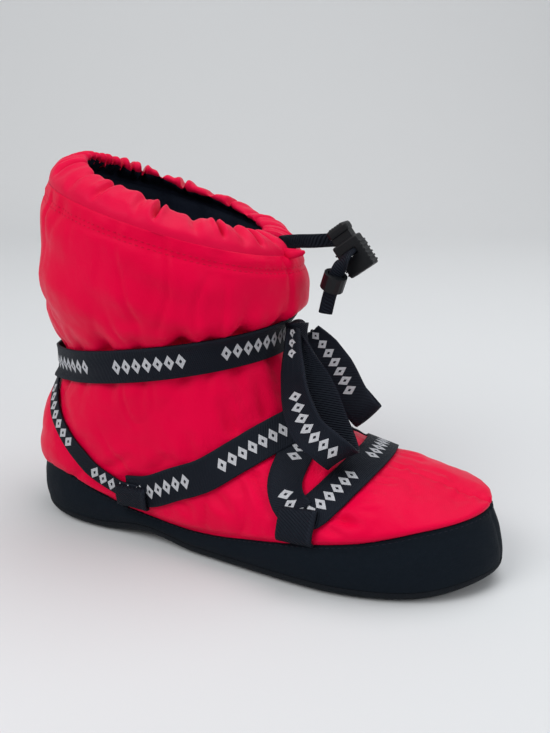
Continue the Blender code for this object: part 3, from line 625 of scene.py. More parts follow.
def layOn(points, step):
    # The path laid on the upper: places and outward directions
    places = np.array([guideTree.find_nearest(Vector(p))[0] for p in evenPath(points, step)])
    places = evenPath(places, step)
    normals = np.array([guideTree.find_nearest(Vector(p))[1] for p in places])
    for _ in range(6):
        padded = np.concatenate([normals[:1], normals, normals[-1:]])
        normals = unit(padded[:-2] + 2 * padded[1:-1] + padded[2:])
    return places, normals


def strapGrid(places, normals, width, lift, columns=9, closed=False):
    # Rows along the path, columns across it, each laid on the upper and lifted
    if closed:
        along = unit(np.roll(places, -1, axis=0) - np.roll(places, 1, axis=0))
    else:
        along = unit(np.gradient(places, axis=0))
    side = unit(np.cross(along, normals))
    grid = np.empty((len(places), columns, 3))
    for i, (place, normal) in enumerate(zip(places, normals)):
        for k in range(columns):
            spot = Vector(place + side[i] * width * (k / (columns - 1) - 0.5))
            found = guideTree.ray_cast(spot + Vector(normal) * 0.02, -Vector(normal), 0.05)[0]
            grid[i, k] = np.array(found if found else spot) + normal * lift[i]
    return grid


def onFoot(row, side):
    along, across, up = row[:3]
    return (footX(along), -side * across * foot["ball"] / 2, up * shaft["ankleFrontHeight"])


toeStrap = [
    # along, across, up
    (0.650, 0.97, 0.352), (0.681, 0.95, 0.370), (0.704, 0.80, 0.420), (0.716, 0.66, 0.452),
    (0.728, 0.47, 0.480), (0.737, 0.20, 0.497), (0.739, 0.00, 0.499),
]
instepStrap = [
    # along, across, up
    (0.290, 0.86, 0.275), (0.340, 0.88, 0.295), (0.394, 0.89, 0.354), (0.460, 0.88, 0.427),
    (0.514, 0.77, 0.515), (0.551, 0.61, 0.574), (0.584, 0.38, 0.613), (0.606, 0.10, 0.623),
    (0.620, -0.20, 0.590), (0.617, -0.50, 0.544), (0.617, -0.78, 0.458), (0.635, -0.92, 0.392),
    (0.662, -0.97, 0.348),
]
heelStrap = [
    # along, across, up
    (0.315, 0.86, 0.280), (0.271, 0.86, 0.280), (0.237, 0.86, 0.305), (0.204, 0.86, 0.345),
    (0.174, 0.84, 0.405), (0.146, 0.81, 0.461), (0.120, 0.76, 0.522), (0.096, 0.66, 0.580),
    (0.074, 0.45, 0.660), (0.066, 0.22, 0.730), (0.066, 0.04, 0.775),
]
strapStep = 0.0025
base, thick = webbing["clearance"], webbing["thickness"]
stepUp = 0.7 * thick
strapPieces = []


def addStrap(name, points, width, liftOf, finish, over=0.0, node="lacing", closed=False):
    # Webbing laid on the upper; liftOf says how high its underside runs, from start to end
    places, normals = layOn(points, strapStep)
    if closed:
        places, normals = places[:-1], normals[:-1]
    lift = liftOf(np.linspace(0, 1, len(places)), over) + thick
    grid = strapGrid(places, normals, width, lift, closed=closed)
    length = float(runAlong(places)[-1])
    sides = [finishes[finish], finishes["plainWeb"]]
    made = gridPiece(name, grid, sides, uvSize=(width, length), closed=(False, closed))
    thicken(made, thick, 1)
    settle(made, node)
    strapPieces.append((places, width))


def toeLift(s, over):
    return np.full_like(s, base)


def instepLift(s, over):
    # Over the other instep strap where they cross, and over the toe strap in the ball's loop
    return base + over * np.minimum(1.0, 1.6 * hill(s, 0.62, 0.22)) + stepUp * smooth((s - 0.86) / 0.07)


def heelLift(s, over):
    return base + stepUp * (1 - smooth((s - 0.06) / 0.10)) + over * smooth((s - 0.80) / 0.12)


def bandLift(s, over):
    # Over both heel straps at the back
    return base + (2 * thick + 0.0012) * np.minimum(1.0, 1.8 * hill(s, 0.5, 0.13))


toePoints = [onFoot(row, 1) for row in toeStrap] + [onFoot(row, -1) for row in toeStrap[-2::-1]]
addStrap("toe_strap", toePoints, webbing["width"], toeLift, "printed")
for side, word in ((1, "right"), (-1, "left")):
    over = stepUp if side == 1 else 0.0
    instepPoints = [onFoot(row, side) for row in instepStrap]
    heelPoints = [onFoot(row, side) for row in heelStrap]
    addStrap("instep_strap_" + word, instepPoints, webbing["width"], instepLift, "printed", over)
    addStrap("heel_strap_" + word, heelPoints, webbing["folded"], heelLift, "heelPrinted", over)
bandRing = ringOf(upperSections()[len(footSections)], 44)
bandMiddle = bandRing.mean(axis=0)
bandPoints = [bandMiddle + (p - bandMiddle) * 1.02 for p in bandRing]
addStrap(
    "ankle_band_webbing",
    bandPoints + bandPoints[:1],
    webbing["width"],
    bandLift,
    "printed",
    node="ankle_band",
    closed=True,
)
print("webbing on the upper")


# The upper: puffs between the straps, tucks at the ankle band, seam gathers and the main creases
puff = {
    "height": 0.0021,
    "reach": 0.008,
    "press": 0.0004,
    "broad": 0.0017,
    "fine": 0.00045,
    "gather": 0.0006,
    "sag": 0.0040,
    "crinkle": 0.0013,
}
tuckForm = {
    "from": 0.075,
    "radius": 0.062,
    "above": 1.2,
    "below": 1.35,
    "fade": 0.008,
    "under": 0.004,
    "ridge": 0.3,
    "ridgeAway": 1.9,
    "ridgeUp": 0.006,
}
tucks = [
    # turn from the toe towards the right, in degrees; depth above and below the band, and width, in metres
    (101, 0.0040, 0.0024, 0.0042), (63, 0.0048, 0.0034, 0.0045), (35, 0.0040, 0.0030, 0.0040),
    (140, 0.0030, 0.0022, 0.0040), (83, 0.0014, 0.0022, 0.0030), (50, 0.0016, 0.0020, 0.0032),
    (12, 0.0030, 0.0030, 0.0040), (180, 0.0024, 0.0020, 0.0040), (-22, 0.0034, 0.0028, 0.0042),
    (-58, 0.0040, 0.0030, 0.0045), (-84, 0.0020, 0.0020, 0.0035), (-112, 0.0036, 0.0026, 0.0042),
    (-146, 0.0030, 0.0022, 0.0040), (120, 0.0016, 0.0012, 0.0034),
]
creaseForm = {"strength": 1.35, "end": 1.15, "bank": 0.35, "bankAway": 2.0}
creases = [
    # along, across, up; along, across, up; width and depth in metres
    (0.698, 0.93, 0.385, 0.765, 0.87, 0.325, 0.0026, 0.0034),
    (0.712, 0.80, 0.44, 0.790, 0.66, 0.42, 0.0026, 0.0022),
    (0.690, 0.95, 0.345, 0.735, 0.97, 0.300, 0.0024, 0.0020),
    (0.745, 0.45, 0.47, 0.800, 0.36, 0.44, 0.0024, 0.0018),
    (0.700, 0.86, 0.47, 0.640, 0.82, 0.55, 0.0030, 0.0018),
    (0.560, 0.80, 0.45, 0.600, 0.93, 0.36, 0.0034, 0.0018),
    (0.480, 0.90, 0.36, 0.520, 0.96, 0.30, 0.0034, 0.0016),
    (0.400, 0.90, 0.31, 0.440, 0.95, 0.24, 0.0030, 0.0014),
    (0.340, 0.88, 0.36, 0.370, 0.86, 0.46, 0.0032, 0.0018),
    (0.430, 0.86, 0.46, 0.420, 0.80, 0.58, 0.0034, 0.0014),
    (0.240, 0.86, 0.36, 0.290, 0.85, 0.44, 0.0030, 0.0014),
    (0.180, 0.83, 0.36, 0.220, 0.84, 0.28, 0.0030, 0.0014),
    (0.500, 0.66, 0.62, 0.470, 0.62, 0.74, 0.0036, 0.0020),
    (0.550, 0.45, 0.68, 0.520, 0.38, 0.80, 0.0034, 0.0018),
    (0.760, 0.30, 0.47, 0.820, 0.22, 0.43, 0.0026, 0.0012),
    (0.752, 0.05, 0.49, 0.800, 0.06, 0.46, 0.0026, 0.0014),
]
toeSeam = {"from": 0.765, "depth": 0.0024, "width": 0.0015, "pucker": 0.0008, "puckerAway": 0.0035}
frontSeam = {"from": 0.134, "turn": 9.0, "radius": 0.07, "depth": 0.0012, "width": 0.0016}
hem = {"below": 0.0085, "depth": 0.0011, "width": 0.0018, "pucker": 0.0008, "gather": 0.0011, "radius": 0.07}


def toLine(places, start, end):
    # Distance to a straight run, and the share along it
    start, end = np.asarray(start), np.asarray(end)
    run = end - start
    share = np.clip(((places - start) @ run) / (run @ run), 0, 1)
    return np.linalg.norm(places - start - share[..., None] * run, axis=-1), share


def strapDistance(places):
    # How far each place is from the nearest strap's edge, along the cloth
    best = np.full(places.shape[:-1], 1.0)
    for path, width in strapPieces:
        for k in range(0, len(path), 2):
            away = np.linalg.norm(places - path[k], axis=-1) - width / 2
            best = np.minimum(best, away)
    return best


def shaftTurn(places):
    # The turn round the shaft from the toe towards the right, in degrees, and the ankle band's height there
    middle = (shaft["ankleBack"] + shaft["ankleFront"]) / 2
    half = (shaft["ankleFront"] - shaft["ankleBack"]) / 2
    across = -places[..., 1] / (shaft["ankleWidth"] / 2)
    ahead = (places[..., 0] - middle) / half
    level = mix(shaft["ankleBackHeight"], shaft["ankleFrontHeight"], np.clip((ahead + 1) / 2, 0, 1))
    return np.degrees(np.arctan2(across, ahead)), level


def tuckRelief(places, turn, level):
    # Tucks that the ankle band pulls into the cloth above and below it, each between two soft ridges
    above = places[..., 2] - level - webbing["width"] / 2
    below = level - webbing["width"] / 2 - places[..., 2]
    fades = []
    for gap in (above, below):
        fades.append(np.exp(-np.maximum(gap, 0) / tuckForm["fade"]) * (gap > -tuckForm["under"]))
    ridgeFade = np.exp(-((above - tuckForm["ridgeUp"]) / tuckForm["ridgeUp"]) ** 2)
    rise = np.zeros_like(turn)
    for middle, deep, shallow, width in tucks:
        arc = np.radians((turn - middle + 180) % 360 - 180) * tuckForm["radius"]
        line = np.exp(-(arc / width) ** 2)
        ridge = np.exp(-((np.abs(arc) - tuckForm["ridgeAway"] * width) / width) ** 2)
        rise -= line * (tuckForm["above"] * deep * fades[0] + tuckForm["below"] * shallow * fades[1])
        rise += ridge * tuckForm["ridge"] * deep * ridgeFade
    return rise * (places[..., 2] > tuckForm["from"])


def creaseRelief(places):
    rise = np.zeros(places.shape[:-1])
    for side in (1, -1):
        for crease in creases:
            gap, share = toLine(places, onFoot(crease[:3], side), onFoot(crease[3:6], side))
            width, depth = crease[6:]
            taper = creaseForm["strength"] * np.sqrt(np.clip(creaseForm["end"] - share, 0, 1))
            bank = creaseForm["bank"] * np.exp(-((gap - creaseForm["bankAway"] * width) / width) ** 2)
            rise += depth * taper * (bank - np.exp(-(gap / width) ** 2))
    return rise


def seamRelief(places, share, turn, onShaft):
    # The toe's seam with its puckers, and the seam up the shaft's front
    off = np.abs(places[..., 1] - leanAt(share))
    wave = np.sin(places[..., 0] / 0.0011 + 1.5 * np.sin(places[..., 0] / 0.004))
    rise = toeSeam["pucker"] * wave * np.exp(-((off - toeSeam["puckerAway"]) / 0.003) ** 2)
    rise -= toeSeam["depth"] * np.exp(-(off / toeSeam["width"]) ** 2)
    arc = np.radians(turn - frontSeam["turn"]) * frontSeam["radius"]
    onToe = smooth((share - toeSeam["from"]) / 0.02)
    return onToe * rise - onShaft * frontSeam["depth"] * np.exp(-(arc / frontSeam["width"]) ** 2)


def upperRelief(places):
    away = strapDistance(places)
    free = smooth((away + 0.001) / 0.006)
    share = shareOf(places[..., 0])
    turn, level = shaftTurn(places)
    onShaft = smooth((places[..., 2] - frontSeam["from"]) / 0.01)
    rise = puff["height"] * (1 - np.exp(-(np.maximum(away, 0) / puff["reach"]) ** 2))
    rise -= puff["press"] * (away < 0)
    rise += tuckRelief(places, turn, level) + free * creaseRelief(places)
    rise += seamRelief(places, share, turn, onShaft)
    rise += free * puff["broad"] * ripple(places, 0.030, 3.1)
    slanted = places + np.array([0.0, 0.0, 0.35]) * places[..., :1]
    rise += onShaft * puff["sag"] * ripple(slanted * np.array([0.55, 0.55, 1.3]), 0.026, 12.4)
    rise += free * puff["fine"] * ripple(places, 0.009, 11.7)
    # Crisp crinkles run along the level lines of a broad ripple, stronger in some places than in others
    crinkle = np.exp(-(ripple(places * np.array([1.0, 1.0, 0.5]), 0.024, 4.4) / 0.085) ** 2)
    rise -= free * puff["crinkle"] * crinkle * smooth(ripple(places, 0.040, 9.1) + 0.45)
    # Short gathers where the cloth is sewn to the rand
    upSeam = places[..., 2] - randTop(share)
    fold = ripple(places * np.array([1, 1, 0.25]), 0.0055, 5.3)
    rise += free * puff["gather"] * fold * np.exp(-np.maximum(upSeam, 0) / 0.008) * (places[..., 2] < 0.06)
    return rise


rise = upperRelief(baseRings)
rowCount = len(baseRings)
collarFade = smooth((np.arange(rowCount) - 1) / 5.0) * smooth((rowCount - 1 - np.arange(rowCount)) / 3.0)
# Below the casing the shell hangs in soft gathers, and a topstitched hem runs round it
columnTurn = np.arange(upperForm["columns"]) / upperForm["columns"] * math.tau
fromTop = baseRings[-1][None, :, 2] - baseRings[:, :, 2]
circle = np.stack([np.cos(columnTurn), np.sin(columnTurn), columnTurn * 0], axis=1) * hem["radius"]
rise += hem["gather"] * ripple(circle, 0.011, 8.2)[None, :] * np.exp(-fromTop / 0.016) * (fromTop < 0.06)
rise -= hem["depth"] * np.exp(-((fromTop - hem["below"]) / hem["width"]) ** 2) * (fromTop < 0.03)
rise += hem["pucker"] * ripple(circle, 0.0045, 3.7)[None, :] * np.exp(-((fromTop - 0.0045) / 0.004) ** 2)
shell = baseRings + baseFacing * (rise * collarFade[:, None])[..., None]
# The lining keeps its wall, and gives way where a tuck is deeper than that
liningForm = {"clear": 0.0020, "channels": 9, "depth": 0.0016}
sunk = np.maximum(foot["wall"], liningForm["clear"] - rise * collarFade[:, None])
reach = upperForm["liningEvery"]
sunk = np.max([np.roll(sunk, k, axis=0) for k in range(-reach, reach + 1)], axis=0)
lining = baseRings - baseFacing * sunk[..., None]
channel = np.abs(np.sin(columnTurn * liningForm["channels"])) ** 0.6
lining += baseFacing * (liningForm["depth"] * (1 - channel) * collarFade[:, None])[..., None]
for k in (0, -1):
    lining[k, :, 2] = baseRings[k, :, 2]
picked = list(range(rowCount - 1, 0, -reach)) + [0]
upper = gridPiece(
    "padded_shell",
    np.concatenate([shell, lining[picked]]),
    [finishes["shell"], finishes["lining"]],
    uvSize=(0.55, 0.42),
    closed=(True, True),
    rowMaterial=[0] * (rowCount - 1) + [1] * (len(picked) + 1),
    flip=True,
)
settle(upper, "upper")
print("padded shell")


# The collar's casing: a gathered roll round the rim, open at the front
casing = {
    "gap": 0.014,
    "gapToLeft": 0.9,
    "depth": 0.021,
    "rise": 0.0125,
    "sink": 0.0007,
    "columns": 480,
    "steps": 5,
    "turnIn": 27,
}
casingProfile = [
    # inwards, upwards
    (0.00, 0.00), (0.06, 0.38), (0.30, 0.74), (0.62, 0.95), (0.92, 1.00),
    (1.00, 0.84), (0.86, 0.60), (0.62, 0.40), (0.44, 0.20), (0.38, 0.00),
]
pinches = [
    # share round the collar from the gap by the right side; depth and width in metres; how far down it runs
    (0.020, 0.0012, 0.0022, 0.9), (0.052, 0.0020, 0.0018, 0.6), (0.078, 0.0012, 0.0026, 0.9),
    (0.112, 0.0026, 0.0014, 0.5), (0.150, 0.0010, 0.0030, 0.9), (0.205, 0.0030, 0.0013, 0.4),
    (0.232, 0.0010, 0.0028, 0.9), (0.290, 0.0016, 0.0022, 0.8), (0.345, 0.0010, 0.0030, 0.9),
    (0.398, 0.0020, 0.0022, 0.5), (0.432, 0.0014, 0.0026, 0.9), (0.468, 0.0024, 0.0018, 0.8),
    (0.492, 0.0020, 0.0016, 0.9), (0.510, 0.0030, 0.0015, 0.9), (0.527, 0.0024, 0.0014, 0.9),
    (0.545, 0.0032, 0.0015, 0.9), (0.562, 0.0022, 0.0014, 0.8), (0.584, 0.0034, 0.0016, 0.9),
    (0.606, 0.0020, 0.0016, 0.7), (0.634, 0.0034, 0.0018, 0.9), (0.672, 0.0014, 0.0024, 0.8),
    (0.715, 0.0028, 0.0018, 0.9), (0.770, 0.0012, 0.0030, 0.8), (0.812, 0.0022, 0.0020, 0.9),
    (0.858, 0.0012, 0.0028, 0.9), (0.895, 0.0026, 0.0020, 0.8), (0.938, 0.0014, 0.0024, 0.9),
    (0.974, 0.0022, 0.0018, 0.9),
]
collarRing = ringOf(upperSections()[-1], 1056)
closedRing = np.concatenate([collarRing, collarRing[:1]])
tangent = unit(np.roll(collarRing, -1, axis=0) - np.roll(collarRing, 1, axis=0))
inwards = unit(np.stack([tangent[:, 1], -tangent[:, 0], tangent[:, 0] * 0], axis=1))
closedInwards = np.concatenate([inwards, inwards[:1]])
run = runAlong(closedRing)
first = casing["gap"] * (1 - casing["gapToLeft"])
goal = np.linspace(first, run[-1] - casing["gap"] + first, casing["columns"])
rim = placesAt(goal, run, closedRing)
inward = unit(placesAt(goal, run, closedInwards))
profile = curveRows(casingProfile, casing["steps"])
roll = rim[None] + inward[None] * (casing["depth"] * profile[:, 0])[:, None, None]
roll[..., 2] += casing["rise"] * profile[:, 1][:, None] - casing["sink"]
rollFacing = facing(roll, closed=False)
share = np.linspace(0, 1, casing["columns"])
height = profile[:, 1]
# How freely each row of the profile can move: nothing at the seam, most over the rim
row = np.arange(len(profile))
free = smooth(row / (2.2 * casing["steps"])) * smooth((len(profile) - 1 - row) / 8)
relief = np.zeros(roll.shape[:-1])
for depth, size, seed in ((0.0013, 0.026, 2.4), (0.0007, 0.011, 7.9), (0.0003, 0.005, 1.3)):
    relief += depth * ripple(roll, size, seed)
drop = np.zeros(casing["columns"])
length = goal[-1] - goal[0]
for middle, depth, width, reach in pinches:
    # Each pinch leans a little as it runs down the face
    off = np.abs((share - middle) * length + 0.004 * math.sin(middle * 60) * (1 - height[:, None]))
    line = np.exp(-(off / width) ** 2)
    bank = np.exp(-((off - 2.4 * width) / (1.5 * width)) ** 2)
    down = smooth((height - (1 - reach)) / 0.35)
    relief += (0.35 * depth * bank - depth * line) * down[:, None]
    drop += depth * (0.8 * line - 0.2 * bank)[height.argmax()]
roll = roll + rollFacing * (relief * free[:, None])[..., None]
wave = 0.0016 * ripple(rim, 0.026, 6.6)
roll[..., 2] += (wave - drop)[None, :] * (free * smooth((height - 0.3) / 0.6))[:, None]
collar = gridPiece(
    "gathered_casing",
    roll,
    [finishes["casing"], finishes["lining"]],
    uvSize=(0.42, 0.06),
    closed=(False, True),
    rowMaterial=[int(casing["turnIn"] <= k < len(profile) - 1) for k in range(len(profile))],
    flip=True,
)
flapRows = [
    # a small flap beside the gap: three rows from the seam out to its corner
    [(0.0138, -0.0066, 0.1716), (0.0146, -0.0060, 0.1752), (0.0146, -0.0050, 0.1786)],
    [(0.0205, -0.0052, 0.1730), (0.0212, -0.0050, 0.1756), (0.0208, -0.0042, 0.1782)],
    [(0.0258, -0.0036, 0.1752), (0.0268, -0.0034, 0.1764), (0.0262, -0.0030, 0.1776)],
]
flap = gridPiece("flap", np.array(flapRows), [finishes["casing"]], uvSize=(0.014, 0.012))
thicken(flap, 0.0009)
bm = bmesh.new()
bm.from_object(flap, bpy.context.evaluated_depsgraph_get())
bpy.data.objects.remove(flap)
bm.from_mesh(collar.data)
bm.to_mesh(collar.data)
bm.free()
closeHoles(collar)
settle(collar, "collar_casing")
print("casing")


# Rand and sole
randForm = {
    "columns": 288,
    "pitch": 0.0024,
    "puff": 0.0007,
    "toeSeam": 0.0012,
    "seamWidth": 0.0022,
    "topRoll": 0.0007,
}
climbs = curveRows([(0.0, 0.0), (0.22, 0.75), (0.55, 1.0), (0.85, 0.45), (1.0, 0.0)], 6)


def randRings(inner):
    low = soleRing(foot["soleEdge"] * 0.04 + inner, foot["soleThickness"] + foot["fit"], randForm["columns"])
    high = insetRing(ringOf(upperSections()[0], randForm["columns"]), inner)
    high[:, 2] = randTop(shareOf(high[:, 0]))
    return np.array([insetRing(mix(low, high, c), -foot["randBulge"] * b) for c, b in climbs])


outerRand = randRings(0.0)
randFacing = facing(outerRand)
middleRows = hill(climbs[:, 0], 0.5, 0.5)[:, None]
relief = ripple(outerRand * np.array([1, 1, 0.5]), 0.020, 4.2) + 0.5 * ripple(outerRand, 0.007, 9.4)
column = np.arange(randForm["columns"])
toeGap = np.minimum(column, randForm["columns"] - column) * randForm["pitch"]
seamLine = np.exp(-(toeGap / randForm["seamWidth"]) ** 2)[None, :]
relief = randForm["puff"] * relief * middleRows - randForm["toeSeam"] * seamLine
topRoll = randForm["topRoll"] * np.exp(-((climbs[:, 0] - 0.93) / 0.05) ** 2)[:, None]
randPlaces = outerRand + randFacing * (relief + topRoll)[..., None]
rand = gridPiece(
    "rand_cloth",
    np.concatenate([randPlaces, randRings(foot["randWall"])[::-1][::4]]),
    [finishes["rand"]],
    uvSize=(0.72, 0.10),
    closed=(True, True),
    flip=True,
)
settle(rand, "rand")
cuts = [(1.0, 0.0), (0.4, 0.22), (0.1, 0.62), (0.04, 1.0)]
sideRings = [
    soleRing(foot["soleEdge"] * depth, foot["soleThickness"] * rise, 220)
    for depth, rise in curveRows(cuts, 4)
]


def towardsMiddle(ring, share):
    middle = ring.copy()
    middle[:, 1] = leanAt(shareOf(ring[:, 0]))
    return mix(middle, ring, share)


under = [towardsMiddle(sideRings[0], share) for share in (0.0, 0.25, 0.5, 0.75, 0.92)]
over = [towardsMiddle(sideRings[-1], share) for share in (0.92, 0.5, 0.0)]
outsole = gridPiece(
    "sole_cloth",
    np.array(under + sideRings + over),
    [finishes["sole"]],
    uvSize=(0.72, 0.24),
    closed=(True, False),
    flip=True,
)
settle(outsole, "outsole")
print("rand and sole")


# Webbing loops sewn into the rand's seam, over the straps
loopForm = {
    "width": 0.021,
    "height": 0.0185,
    "start": 0.0035,
    "thickness": 0.0016,
    "ball": 0.661,
    "heel": 0.300,
}
loopLift = base + 1.7 * thick + 1.6 * foot["fit"]
for side, word in ((1, "right"), (-1, "left")):
    for where, tall in (("ball", 1.0), ("heel", 0.8)):
        at, height = loopForm[where], loopForm["height"] * tall
        low = float(randTop(at)) + loopForm["start"]
        climb = [low - 0.002 + (height + loopForm["start"]) * k / 5 for k in range(6)]
        points = [(footX(at), -side * foot["ball"] / 2, z) for z in climb]
        places, normals = layOn(points, 0.0011)
        s = np.linspace(0, 1, len(places))
        lift = loopForm["thickness"] + loopLift * np.minimum(smooth(s / 0.22), smooth((1 - s) / 0.13)) ** 0.5
        grid = strapGrid(places, normals, loopForm["width"], lift)
        name = f"loop_{where}_{word}"
        uvSize = (loopForm["width"], height)
        made = gridPiece(name + "_webbing", grid, [finishes["plainWeb"]], uvSize=uvSize)
        thicken(made, loopForm["thickness"])
        settle(made, name)
print("loops")


# The bow: a wrapped knot and two free loops of webbing
bow = {
    "knot": (0.0212, 0.0, 0.129),
    "reach": 0.085,
    "step": 0.0022,
    "cup": 0.0007,
    "pleat": 0.0012,
    "nearFlat": (0.735, 0.504, 0.447),
    "nearEdge": (0.844, -0.326, 0.420),
    "farFlat": (0.62, 0.51, 0.60),
}
bowRight = [
    # ahead, across and up in shares of the reach; turn on edge, spread
    (0.036, 0.098, -0.020, 0.0, 0.34), (0.090, 0.160, -0.060, 0.0, 0.60), (0.170, 0.215, -0.175, 0.0, 0.95),
    (0.274, 0.235, -0.342, 0.0, 1.0), (0.358, 0.250, -0.518, 0.0, 1.0), (0.425, 0.262, -0.645, 0.0, 1.0),
    (0.470, 0.310, -0.702, 0.0, 1.0), (0.500, 0.390, -0.705, 0.0, 1.0), (0.492, 0.462, -0.660, 0.1, 1.0),
    (0.405, 0.492, -0.585, 0.4, 1.0), (0.270, 0.465, -0.500, 0.8, 1.0), (0.155, 0.385, -0.335, 0.8, 0.85),
    (0.085, 0.280, -0.130, 0.4, 0.50), (0.020, 0.126, 0.055, 0.0, 0.30),
]
bowLeft = [
    # ahead, across and up in shares of the reach; turn on edge, spread
    (0.060, -0.125, -0.020, 0.0, 0.45), (0.140, -0.150, -0.120, 0.0, 0.85), (0.250, -0.190, -0.300, 0.0, 1.0),
    (0.340, -0.210, -0.470, 0.0, 1.0), (0.430, -0.220, -0.590, 0.0, 1.0), (0.450, -0.280, -0.630, 0.0, 1.0),
    (0.370, -0.330, -0.580, 0.0, 1.0), (0.250, -0.340, -0.470, 0.0, 1.0), (0.140, -0.290, -0.320, 0.0, 1.0),
    (0.070, -0.220, -0.170, 0.0, 0.80), (0.010, -0.145, -0.060, 0.0, 0.45),
]


def bowLoop(name, node, rows, flatWay, edgeWay, length, faces):
    rows = np.array(rows)
    route = np.stack([rows[:, 0], -rows[:, 1], rows[:, 2]], axis=1) * bow["reach"] + np.array(bow["knot"])
    places = evenPath(route, bow["step"])
    at = np.linspace(0, len(rows) - 1, len(places))
    turn = np.interp(at, np.arange(len(rows)), rows[:, 3])[:, None]
    spread = np.interp(at, np.arange(len(rows)), rows[:, 4])[:, None]
    along = unit(np.gradient(places, axis=0))
    wide = mix(np.array(flatWay), np.array(edgeWay), turn)
    wide = unit(wide - along * (wide * along).sum(axis=1, keepdims=True))
    for _ in range(4):
        wide = np.concatenate([wide[:1], unit(wide[:-2] + wide[1:-1] + wide[2:]), wide[-1:]])
    out = unit(np.cross(along, wide))
    across = np.linspace(0.5, -0.5, 9)
    grid = np.empty((len(places), len(across), 3))
    # Where the webbing narrows into the knot it gathers in pleats
    for k, a in enumerate(across):
        pleat = (1 - spread) * bow["pleat"] * math.cos(a * 4 * math.tau)
        lift = thick / 2 + bow["cup"] * (0.25 - a * a) * 4 * (spread > 0.9) + pleat
        grid[:, k] = places + wide * webbing["width"] * spread * a + out * lift
    made = gridPiece(name, grid, [finishes[f] for f in faces], uvSize=(webbing["width"], length))
    thicken(made, thick, 1)
    settle(made, node)
    print(name, "is", round(float(runAlong(places)[-1]), 4), "m long")


nearWays = (bow["nearFlat"], bow["nearEdge"])
farWays = (bow["farFlat"], bow["farFlat"])
bowLoop("bow_loop_near", "bow_loop_right", bowRight, *nearWays, 0.173, ("plainWeb", "bowPrinted"))
bowLoop("bow_loop_far", "bow_loop_left", bowLeft, *farWays, 0.133, ("printed", "plainWeb"))

knotForm = {"depth": 0.0090, "width": 0.0170, "height": 0.0150, "columns": 40, "rows": 17, "fold": 0.06}
angle = np.arange(knotForm["columns"]) / knotForm["columns"] * math.tau
levels = np.linspace(-0.5, 0.5, knotForm["rows"])
full = np.sqrt(np.clip(1 - np.abs(levels * 2) ** 3.2, 0, 1))
rings = []
for level, size in zip(levels, full):
    fold = 1 + knotForm["fold"] * np.sin(5 * angle + 9 * level) * size
    x = knotForm["depth"] / 2 * size * fold * np.sign(np.cos(angle)) * np.abs(np.cos(angle)) ** 0.75
    y = -knotForm["width"] / 2 * size * fold * np.sign(np.sin(angle)) * np.abs(np.sin(angle)) ** 0.75
    z = np.full_like(x, knotForm["height"] * level)
    rings.append(np.stack([x, y, z], axis=1) + np.array(bow["knot"]))
knotLook = {"materials": [finishes["plainWeb"]], "closed": (True, False), "flip": True}
knot = gridPiece("bow_knot_core", np.array(rings), uvSize=(0.05, 0.02), **knotLook)
settle(knot, "bow_knot")
wrapForm = {"ahead": 0.0058, "across": 0.0098, "half": 0.0058, "thickness": 0.0012, "pinch": 0.05}
wrapRing = []
for a in np.linspace(0, math.tau, 49)[:-1]:
    x, y = wrapForm["ahead"] * math.cos(a), -wrapForm["across"] * math.sin(a)
    wrapRing.append((bow["knot"][0] + x, y, bow["knot"][2] + 0.12 * x - 0.22 * y))
wrapRing = np.array(wrapRing)
heights = np.linspace(-wrapForm["half"], wrapForm["half"], 7)
wrapGrid = np.array([wrapRing + np.array((0, 0, h)) * (1 + 0.05 * math.sin(h * 900)) for h in heights])
pinch = 1 - wrapForm["pinch"] * np.cos(heights / wrapForm["half"] * math.pi)
middle = wrapRing.mean(axis=0)
for k in range(len(heights)):
    wrapGrid[k, :, :2] = middle[:2] + (wrapGrid[k, :, :2] - middle[:2]) * pinch[k]
wrap = gridPiece("bow_knot_wrap", wrapGrid, uvSize=(0.055, 0.0116), **knotLook)
thicken(wrap, wrapForm["thickness"])
settle(wrap, "bow_knot")
print("bow")


# Drawcord, its lock and its stop
drawcord = {
    "lock": (0.05285, 0.007, 0.1755),
    "reach": 0.040,
    "width": 0.008,
    "thickness": 0.0032,
    "length": 0.113,
}
drawcordRows = [
    # ahead, toLeft, up from the lock's middle in shares of its reach; which way the width points
    (-1.060, -0.198, 0.125, 0.0, 0.0, 1.0), (-1.020, -0.08, 0.125, 0.0, 0.0, 1.0),
    (-0.880, 0.05, 0.126, 0.0, 0.0, 1.0), (-0.680, 0.14, 0.130, 0.0, 0.1, 1.0),
    (-0.400, 0.28, 0.145, 0.3, 0.0, 1.0), (-0.180, 0.38, 0.130, 0.8, 0.1, 0.8),
    (-0.040, 0.36, 0.080, 0.8, 0.0, 0.6), (-0.034, 0.20, 0.046, 0.8, 0.0, 0.6),
    (-0.034, 0.00, 0.046, 0.8, 0.0, 0.6), (-0.034, -0.20, 0.046, 0.8, 0.0, 0.6),
    (-0.050, -0.34, -0.020, 0.8, -0.2, 0.5), (-0.120, -0.38, -0.170, 0.9, 0.3, 0.2),
    (-0.180, -0.36, -0.320, 0.9, 0.4, 0.1), (-0.260, -0.31, -0.560, 0.9, 0.4, 0.0),
    (-0.320, -0.28, -0.800, 0.9, 0.4, 0.0),
]
fine = curveRows(drawcordRows, 6)
cordPath = fine[:, :3] * drawcord["reach"] + np.array(drawcord["lock"])
along = unit(np.gradient(cordPath, axis=0))
wide = unit(fine[:, 3:] - along * (fine[:, 3:] * along).sum(axis=1, keepdims=True))
out = np.cross(along, wide)
angle = np.arange(18) / 18 * math.tau
oval = [np.sign(f(angle)) * np.abs(f(angle)) ** 0.6 for f in (np.cos, np.sin)]
cordGrid = cordPath[:, None] + wide[:, None] * (oval[0] * drawcord["width"] / 2)[None, :, None]
cordGrid = cordGrid + out[:, None] * (oval[1] * drawcord["thickness"] / 2)[None, :, None]
uvSize = (0.018, drawcord["length"])
